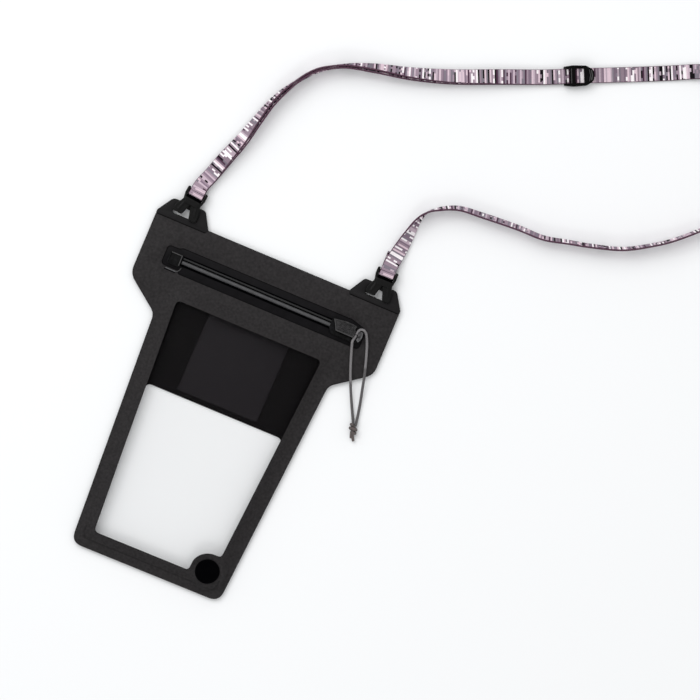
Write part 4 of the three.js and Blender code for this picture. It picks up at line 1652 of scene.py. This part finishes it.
@dataclass
class Hook:
    """A moulded hook: two ears with a bar for the webbing, and two prongs into the tab's slot."""

    side: int
    x: float
    turn: float
    pivot_y: float = 111.0
    top_z: float = 6.0
    prong_z: float = 3.2
    bar_y: float = 125.7
    bar_z: float = 3.0
    bar_radius: float = 1.2
    bar_half: float = 6.0
    right_foot_y: float = 107.9
    left_foot_y: float = 109.2
    edge: float = 0.3
    voxel: float = 0.17
    # The black step between neck and webbing, painted shadow.
    shadow_step_depth: float = 0.6
    shadow_step_t: float = 0.8

    @property
    def name(self) -> str:
        """Left or right."""
        return side_name(self.side)

    def put_in_place(self, piece: Piece) -> None:
        """Turn a piece about the hook's pivot and move it to the hook's place."""
        turned = Matrix.Rotation(math.radians(self.turn), 4, "Z")
        away = Matrix.Translation((0, -self.pivot_y * MM, 0))
        back = Matrix.Translation((self.x * MM, self.pivot_y * MM, 0))
        piece.matrix_world = back @ turned @ away

    def build(self, finishes: Finishes) -> None:
        """Build the hook."""
        parts = [
            slab([
                (-6.1, 118.7, 0.8), (6.1, 118.7, 0.8), (6.0, 121.3, 0.6), (-6.0, 121.3, 0.6),
            ], 1.2, self.top_z, self.edge),
            plate([rectangle(-6.0, 6.0, 118.9, 121.9, 0.5)], 1.0, 3.2, self.edge),
            slab([
                (-4.7, 117.0, 1.5), (4.7, 117.0, 1.5), (5.4, 121.0, 0.5), (-5.4, 121.0, 0.5),
            ], self.prong_z, self.top_z + 0.25, self.edge),
            rod(
                Vector((-self.bar_half, self.bar_y, self.bar_z)),
                Vector((self.bar_half, self.bar_y, self.bar_z)), self.bar_radius, 32,
            ),
        ]
        for side in (-1, 1):
            parts += [self._ear(side), *self._prong(side)]
        hook = moulded(parts, self.voxel, 3)
        self.put_in_place(hook)
        stand_in(hook, finishes.hook, f"strap_hook_{self.name}", POUCH, "hook", f"hook_{self.name}")
        # Painted shadow: a black step fills the gap between the neck and the webbing's turn.
        outline = rectangle(-5.2, 5.2, 120.8, 123.3, 0.4, 6)
        top = self.top_z - self.shadow_step_depth
        step = plate([outline], top - self.shadow_step_t, top, 0.2)
        self.put_in_place(step)
        stand_in(step, finishes.deep, f"hook_shadow_step_{self.name}", POUCH, "hook")

    @staticmethod
    def _ear(side: int) -> Piece:
        """One ear, which bows out past the bar's end."""
        return slab([
            (side * 5.35, 119.2, 0.4), (side * 6.3, 118.9, 0.8), (side * 7.3, 123.6, 3),
            (side * 7.2, 128.2, 1.0), (side * 5.5, 128.6, 0.8), (side * 5.35, 124.0, 1.0),
        ], 0.6, 5.4, 0.6, 3)

    def _prong(self, side: int) -> list[Piece]:
        """One prong over the tab, its rib, and its tip down through the slot."""
        foot = self.right_foot_y if side > 0 else self.left_foot_y
        arm = slab([
            (side * 0.2, 121.0, 0), (side * 5.6, 121.0, 1), (side * 8.6 - 0.5, 113.2, 2),
            (side * 8.9 - 0.4, foot, 1.8), (side * 2.9 + 0.5, foot, 1.6), (side * 0.2, 117.0, 0.4),
        ], self.prong_z, self.top_z - 0.3, 0.55, 3)
        rib = slab([
            (side * 3.0, 119.6, 0.5), (side * 4.6, 119.6, 0.5), (side * 6.7, 111.2, 0.7),
            (side * 5.3, 110.8, 0.7),
        ], self.prong_z + 1, self.top_z, self.edge, 2, 6)
        low = min(side * 3.6, side * 6.9)
        tip = plate([rectangle(low, low + 3.3, 109.6, 112.2, 1, 6)], 0.5, 4.2, 0.4, 2)
        return [arm, rib, tip]


@dataclass
class Adjuster:
    """The moulded slide: a bar to the left, an open slot and a ribbed D-shaped end."""

    x: float = 135.2
    y: float = 295.0
    turn: float = math.degrees(math.atan2(17, 37.2))
    height: float = 5.3
    edge: float = 0.9
    voxel: float = 0.2
    half_opening: float = 5.3
    tunnel_z: float = 3.1
    openings: tuple[Point, ...] = ((-12.0, -6.1), (-2.3, 3.4))
    rib_x: Point = (6.3, 7.9)
    rib_bow: float = 0.9
    rib_half: float = 4.2
    rib_radius: float = 0.32
    rib_spacing: float = 0.4
    bar_radius: float = 0.6

    def build(self, finishes: Finishes) -> Piece:
        """Build the adjuster."""
        body = slab([
            (-10.1, -6.2, 0.8), (-4, -7, 3), (5, -6.6, 3), (10.1, -3.4, 4),
            (10.1, 3.4, 4), (5, 6.6, 3), (-4, 7, 3), (-10.1, 6.2, 0.8),
        ], 0, self.height, self.edge, 4, 10)
        ribs = [self._rib(at) for at in self.rib_x]
        body = moulded([body, *ribs], self.voxel, 2)
        side = self.half_opening
        carve(body, block(-12, 12, -side, side, -1, self.tunnel_z))
        for left, right in self.openings:
            carve(body, block(left, right, -side, side, -1, 7))
        bar = rod(Vector((0.5, -6, 0.62)), Vector((0.5, 6, 0.62)), self.bar_radius, 20)
        body = joined([body, bar])
        self._put_in_place(body)
        stand_in(body, finishes.slide, "strap_slide", POUCH, "hook", "strap_adjuster", smooth=50)
        # Painted highlights: lighter beads along the left bar and across the D-shaped end.
        top = self.height + 0.05
        edges = joined([
            bead([(-4.9, -4.6, top), (-4.9, 4.6, top)], 0.3),
            bead([(7.0, -3.8, top - 0.1), (7.6, 0, top), (7.0, 3.8, top - 0.1)], 0.35),
            bead([(8.3, -2.9, top - 0.2), (8.8, 0, top - 0.2), (8.3, 2.9, top - 0.2)], 0.5),
        ])
        self._put_in_place(edges)
        stand_in(edges, finishes.bead, "slide_edge_highlights", POUCH, "hook")
        return body

    def _put_in_place(self, piece: Piece) -> None:
        """Turn a piece and move it to the adjuster's place."""
        piece.location = (self.x * MM, self.y * MM, 0)
        piece.rotation_euler = (0, 0, math.radians(self.turn))

    def _rib(self, at: float) -> Piece:
        """One curved rib across the D-shaped end."""
        top, side, half = self.height, at - self.rib_bow, self.rib_half
        route = [(side, -half, top), (at, 0, top + 0.02), (side, half, top)]
        rings = []
        for place, _ in spline(route, self.rib_spacing):
            angles = (2 * math.pi * k / 10 for k in range(10))
            rings.append([
                place + Vector((math.cos(a), 0, math.sin(a))) * self.rib_radius for a in angles
            ])
        return sweep("rib", rings, [self.rib_spacing * k for k in range(len(rings))], 1.0)


@dataclass
class Lanyard:
    """The neck strap: hooks, webbing, adjuster and the webbing's turns round the bars."""

    pocket: Pocket
    webbing: Webbing = field(default_factory=Webbing)
    bar_z: float = 3.0
    bar_t: float = 2.4
    bar_y0: float = 124.4
    lie: float = 0.3
    turn_steps: int = 14
    turn_lead: float = 1.05
    tail_lead: float = 0.6
    tail_spacing: float = 1.5

    @property
    def bar_gap(self) -> float:
        """From the bar's middle to the middle of a layer on it."""
        return self.bar_t / 2 + self.pocket.gap + self.webbing.thickness / 2

    def pair_route(self) -> list[tuple]:
        """From the left hook's bar to the adjuster, as two layers."""
        flat, twisted, lie = 0.75, 1.05, self.lie
        return [
            (-66.65, 126.75, 0.3, 0, self.bar_gap), (-66.1, 131.8, 0.35, 0, 1.9),
            (-62.8, 141.0, lie, 6, 1.1), (-58.2, 155.0, lie, 24, twisted),
            (-53.0, 169.6, lie, 42, twisted), (-48.9, 184.6, lie, 60, twisted),
            (-44.7, 199.2, lie, 72, twisted), (-40.2, 209.6, lie, 78, twisted),
            (-35.2, 218.3, lie, 86, flat), (-29.8, 226.0, lie, 90, flat),
            (-23.4, 232.6, lie, 90, flat), (-9.2, 241.1, lie, 82, flat),
            (9.6, 247.4, lie, 64, twisted), (32.5, 253.2, lie, 45, twisted),
            (57.6, 261.6, lie, 26, twisted), (88.0, 274.4, lie, 8, twisted),
            (115.4, 285.9, 0.15, 0, flat), (126.2, 290.9, 0.1, 0, flat), (134.4, 294.7, 0.1, 0, flat),
        ]

    def single_route(self) -> list[tuple]:
        """From the adjuster out of sight, round, and back to the right hook's bar."""
        lie = self.lie
        return [
            (142.0, 298.2, 1.6, 0), (152.0, 302.7, 0.8, 0), (172.4, 312.0, lie, 0),
            (190.0, 320.2, lie, 0), (208.3, 328.9, lie, 10), (226.0, 334.6, lie, 35),
            (246.0, 334.4, lie, 68), (264.0, 324.0, lie, 84), (275.4, 305.6, lie, 90),
            (278.0, 283.0, lie, 90), (270.6, 259.0, lie, 94), (256.8, 241.2, lie, 98),
            (234.9, 219.5, lie, 100), (220.6, 209.2, lie, 101), (206.2, 201.0, lie, 102),
            (186.6, 194.8, lie, 104), (170.3, 190.9, lie, 106), (155.3, 187.4, lie, 108),
            (137.5, 187.1, lie, 110), (113.2, 185.5, lie, 111), (96.1, 183.7, lie, 108),
            (85.2, 178.7, lie, 102), (78.2, 173.3, lie, 92), (74.6, 166.0, lie, 72),
            (72.6, 154.5, lie, 46), (71.2, 145.0, 1.2, 24), (70.1, 137.6, 2.0, 6),
            (69.3, 131.2, 4.0, 0), (69.23, 126.75, 4.5, 0),
        ]

    def build(self, finishes: Finishes) -> None:
        web = self.webbing
        pair = web.stations(self.pair_route())
        single = web.stations(self.single_route())
        upper = web.layer(pair, -1)
        lower = web.layer(pair, 1)
        long_places = [*upper, *web.layer(single, 0)]
        turns = [
            self._turn(Hook(-1, x=-68.3, turn=-6.0), 0.0, finishes),
            self._turn(Hook(1, x=69.5, turn=1.0), 14.0, finishes),
        ]
        adjuster = Adjuster().build(finishes)
        self._lay("neck_strap", long_places, "strap_long", finishes)
        self._lay("strap_second_layer", lower, "strap_return", finishes)

    def _turn(self, hook: Hook, tail: float, finishes: Finishes) -> Piece:
        """Build a hook, and the webbing's turn round its bar.

        Args:
            hook: the hook.
            tail: length of the sewn tail under the webbing, or 0.
            finishes: the finishes to dress them with.

        Returns:
            The webbing's turn.
        """
        hook.build(finishes)
        half = self.bar_gap
        middle = self.bar_y0 - self.pocket.gap + half - self.webbing.thickness / 2
        centre = Vector((0, middle, self.bar_z))
        across = Vector((1, 0, 0))
        up, ahead = Vector((0, 0, 1)), Vector((0, 1, 0))
        top = centre + up * half
        places = [(top + ahead * self.turn_lead * (1 - k / 2), across, up) for k in range(2)]
        for k in range(self.turn_steps + 1):
            angle = math.pi * (0.5 + k / self.turn_steps)
            normal = ahead * math.cos(angle) + up * math.sin(angle)
            places.append((centre + normal * half, across, normal))
        steps = max(1, round(tail / self.tail_spacing))
        reach = ahead * (self.tail_lead + tail)
        for k in range(1, steps + 1):
            places.append((centre - up * half + reach * k / steps, across, -up))
        turn = self.webbing.band(f"bar_turn_{hook.name}", places)
        hook.put_in_place(turn)
        stand_in(
            turn, finishes.webbing, f"bar_turn_{hook.name}", POUCH, "webbing", f"strap_loop_{hook.name}",
        )
        return turn

    def _lay(
        self, name: str, places: Sequence[Place], node: str,
        finishes: Finishes,
    ) -> None:
        """Args:
            name: its plain name.
            places: the middle, the width direction and the normal at each place.
            node: the CAD node that it stands for.
            finishes: the finishes to dress it with.
        """
        band = self.webbing.band(name, places)
        stand_in(band, finishes.webbing, name, POUCH, "webbing", node)


@dataclass
class PullCord:
    """The slider's pull: a doubled thin cord, knotted at its end."""

    diameter: float = 1.8
    spacing: float = 0.7
    sides: int = 14
    knot: Corner = (88.2, 22.8, 2.7)
    knot_turns: float = 1.95
    knot_start: float = 0.3
    knot_length: float = 4.6
    knot_half: float = 2.25
    knot_rise: float = 1.6
    knot_lean: float = 0.1
    knot_slant: float = 0.5
    knot_steps: int = 44

    def left_route(self) -> list[Corner]:
        """From the slider's neck, down its lower side, into the knot."""
        return [
            (66.15, 80.6, 6.5), (65.8, 78.2, 6.5), (65.4, 76.0, 6.6), (66.3, 72.8, 5.4),
            (67.5, 69.2, 4.0), (70.8, 60.0, 3.8), (74.9, 50.0, 3.8), (79.2, 41.0, 2.0),
            (83.6, 32.4, 1.2), (86.5, 26.9, 1.7), (87.2, 25.2, 2.2),
        ]

    def right_route(self) -> list[Corner]:
        """From the slider's neck, over its upper side and round, into the knot."""
        return [
            (66.15, 81.0, 6.5), (66.3, 83.0, 6.5), (67.4, 84.9, 6.5), (69.4, 85.4, 6.4),
            (71.5, 84.2, 5.6), (73.3, 81.4, 4.3), (75.4, 76.8, 3.8), (78.0, 69.4, 3.8),
            (81.4, 58.4, 3.8), (83.5, 50.0, 2.6), (86.3, 38.6, 1.2), (88.6, 27.0, 1.7),
            (88.8, 25.2, 2.4),
        ]

    def tube(self, name: str, route: Sequence[Sequence[float]]) -> tuple[Piece, list[Vector]]:
        """A round tube along a route.

        Args:
            name: the mesh's name.
            route: the given points of the route.

        Returns:
            The tube, and the even places that it follows.
        """
        places = [place for place, _ in spline(route, self.spacing)]
        radius = self.diameter / 2
        side = Vector((1, 0, 0))
        rings, run = [], []
        for i, place in enumerate(places):
            ahead = places[min(i + 1, len(places) - 1)]
            behind = places[max(i - 1, 0)]
            along = (ahead - behind).normalized()
            side = (side - along * side.dot(along)).normalized()
            up = along.cross(side)
            angles = (2 * math.pi * k / self.sides for k in range(self.sides))
            rings.append([place + (side * math.cos(a) + up * math.sin(a)) * radius for a in angles])
            run.append(0.0 if i == 0 else run[-1] + (place - behind).length)
        return sweep(name, rings, run, self.diameter), places

    @staticmethod
    def tail_routes() -> list[list[Corner]]:
        """From the knot to the cord's two cut ends."""
        return [
            [(88.6, 20.9, 2.6), (89.9, 17.9, 1.6), (91.4, 15.4, 1.1)],
            [(87.9, 20.6, 2.2), (88.5, 18.6, 1.2), (89.3, 16.6, 1.1)],
        ]

    def build(self, finishes: Finishes) -> None:
        """Build the strands, the tail and the knot."""
        knot = self._knot(finishes)
        tail = joined([self.tube("cord_tail", route)[0] for route in self.tail_routes()])
        stand_in(tail, finishes.knot, "cord_tail", SLIDER, "cord", "pull_cord_tail")
        strands = (("left", self.left_route()), ("right", self.right_route()))
        for side, route in strands:
            strand, places = self.tube(f"cord_strand_{side}", route)
            stand_in(strand, finishes.cord, f"cord_strand_{side}", SLIDER, "cord", f"pull_cord_{side}")
            self._lift(strand)
        self._lift(tail)
        self._lift(knot, anchor_z=18, keep=0.5)

    @staticmethod
    def _lift(piece: Piece, anchor_z: float = 11, keep: float = 0.19) -> None:
        """Give a piece its own copy of its mesh.

        Args:
            piece: the piece whose mesh is copied.
            anchor_z: not used.
            keep: not used.
        """
        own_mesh(piece)

    def _knot(self, finishes: Finishes) -> Piece:
        """Build a small knot pulled tight: slanted wraps round the two strands."""
        x, y, z = self.knot
        wraps = []
        for k in range(self.knot_steps + 1):
            share = k / self.knot_steps
            angle = 2 * math.pi * (self.knot_turns * share + self.knot_start)
            drop = self.knot_length * share - self.knot_length / 2
            wraps.append((
                x + self.knot_half * math.cos(angle) + self.knot_lean * drop,
                y - drop - self.knot_slant * math.cos(angle),
                z + self.knot_rise * math.sin(angle),
            ))
        wrap, _ = self.tube("pull_cord_knot", wraps)
        core, _ = self.tube(
            "knot_core", [(x - 0.9, y + 2.6, z), (x + 0.2, y, z), (x + 0.5, y - 2.6, z)],
        )
        knot = joined([wrap, core])
        stand_in(knot, finishes.knot, "pull_cord_knot", SLIDER, "cord", "pull_knot")
        return knot


# Studio

@dataclass
class Studio:
    """The pale floor, the soft light and the camera straight above."""

    view_x: float = 66.15
    view_y: float = 70.0
    view_width: float = 462.0
    turn: float = 22.8
    camera_height: float = 2400.0
    floor_size: float = 6.0
    floor_z: float = -0.0003
    floor_colour: Colour = (0.86, 0.87, 0.88)
    sky_strength: float = 0.75
    sensor: float = 36.0

    def build(self) -> None:
        """Set up floor, light and camera."""
        self._floor()
        self._lights()
        self._camera()

    def _floor(self) -> None:
        """A plain pale floor under the pouch."""
        clear_selection()
        bpy.ops.mesh.primitive_plane_add(size=self.floor_size, location=(0, 0, self.floor_z))
        floor = bpy.context.object
        settle(floor, "floor")
        bench = Bench("pale_floor")
        bench.set(Base_Color=(*self.floor_colour, 1), Roughness=0.9, Specular_IOR_Level=0.0)
        dress(floor, bench.material)

    @staticmethod
    def _lamp(name: str, place: Corner, size: float, energy: float) -> None:
        """A square soft light that faces the pouch's middle."""
        clear_selection()
        bpy.ops.object.light_add(type="AREA", location=place)
        lamp = bpy.context.object
        lamp.name = name
        lamp.data.size = size
        lamp.data.energy = energy
        lamp.rotation_euler = (-lamp.location).to_track_quat("-Z", "Y").to_euler()

    def _lights(self) -> None:
        """A large soft light above to the left, two small ones for glints, and an even sky."""
        self._lamp("key_light", (-0.9, 0.9, 1.6), 1.8, 20)
        self._lamp("left_glint", (-1.5, 0.5, 1.5), 0.35, 3)
        self._lamp("low_glint", (0.4, -1.3, 1.5), 0.35, 3)
        world = bpy.data.worlds.new("even_sky")
        bpy.context.scene.world = world
        world.use_nodes = True
        sky = world.node_tree.nodes["Background"]
        sky.inputs["Color"].default_value = (1, 1, 1, 1)
        sky.inputs["Strength"].default_value = self.sky_strength

    def _camera(self) -> None:
        """A long lens straight above, turned as in the photograph."""
        clear_selection()
        place = (self.view_x * MM, self.view_y * MM, self.camera_height * MM)
        bpy.ops.object.camera_add(location=place, rotation=(0, 0, math.radians(self.turn)))
        camera = bpy.context.object
        camera.data.sensor_width = self.sensor
        camera.data.lens = self.sensor * self.camera_height / self.view_width
        camera.data.clip_end = 20
        bpy.context.scene.camera = camera


def main() -> None:
    """Build every part of the pouch in order."""
    logging.basicConfig(level=logging.INFO, format="%(name)s: %(message)s")
    bpy.context.scene.view_settings.view_transform = "Standard"
    finishes = Finishes()
    Studio().build()
    pocket = Pocket()
    Lanyard(pocket).build(finishes)
    PullCord().build(finishes)
    zip_ = Zip(pocket)
    FrontSheet(pocket).build(zip_.outline(0), finishes)
    BackSheet(pocket).build(finishes)
    Badge(pocket).build(finishes)
    for side, slot_x in ((-1, -68.95), (1, 68.65)):
        Tab(side, slot_x, pocket).build(finishes)
    zip_.build(finishes)
    Slider(zip_).build(finishes)


if __name__ == "__main__":
    main()
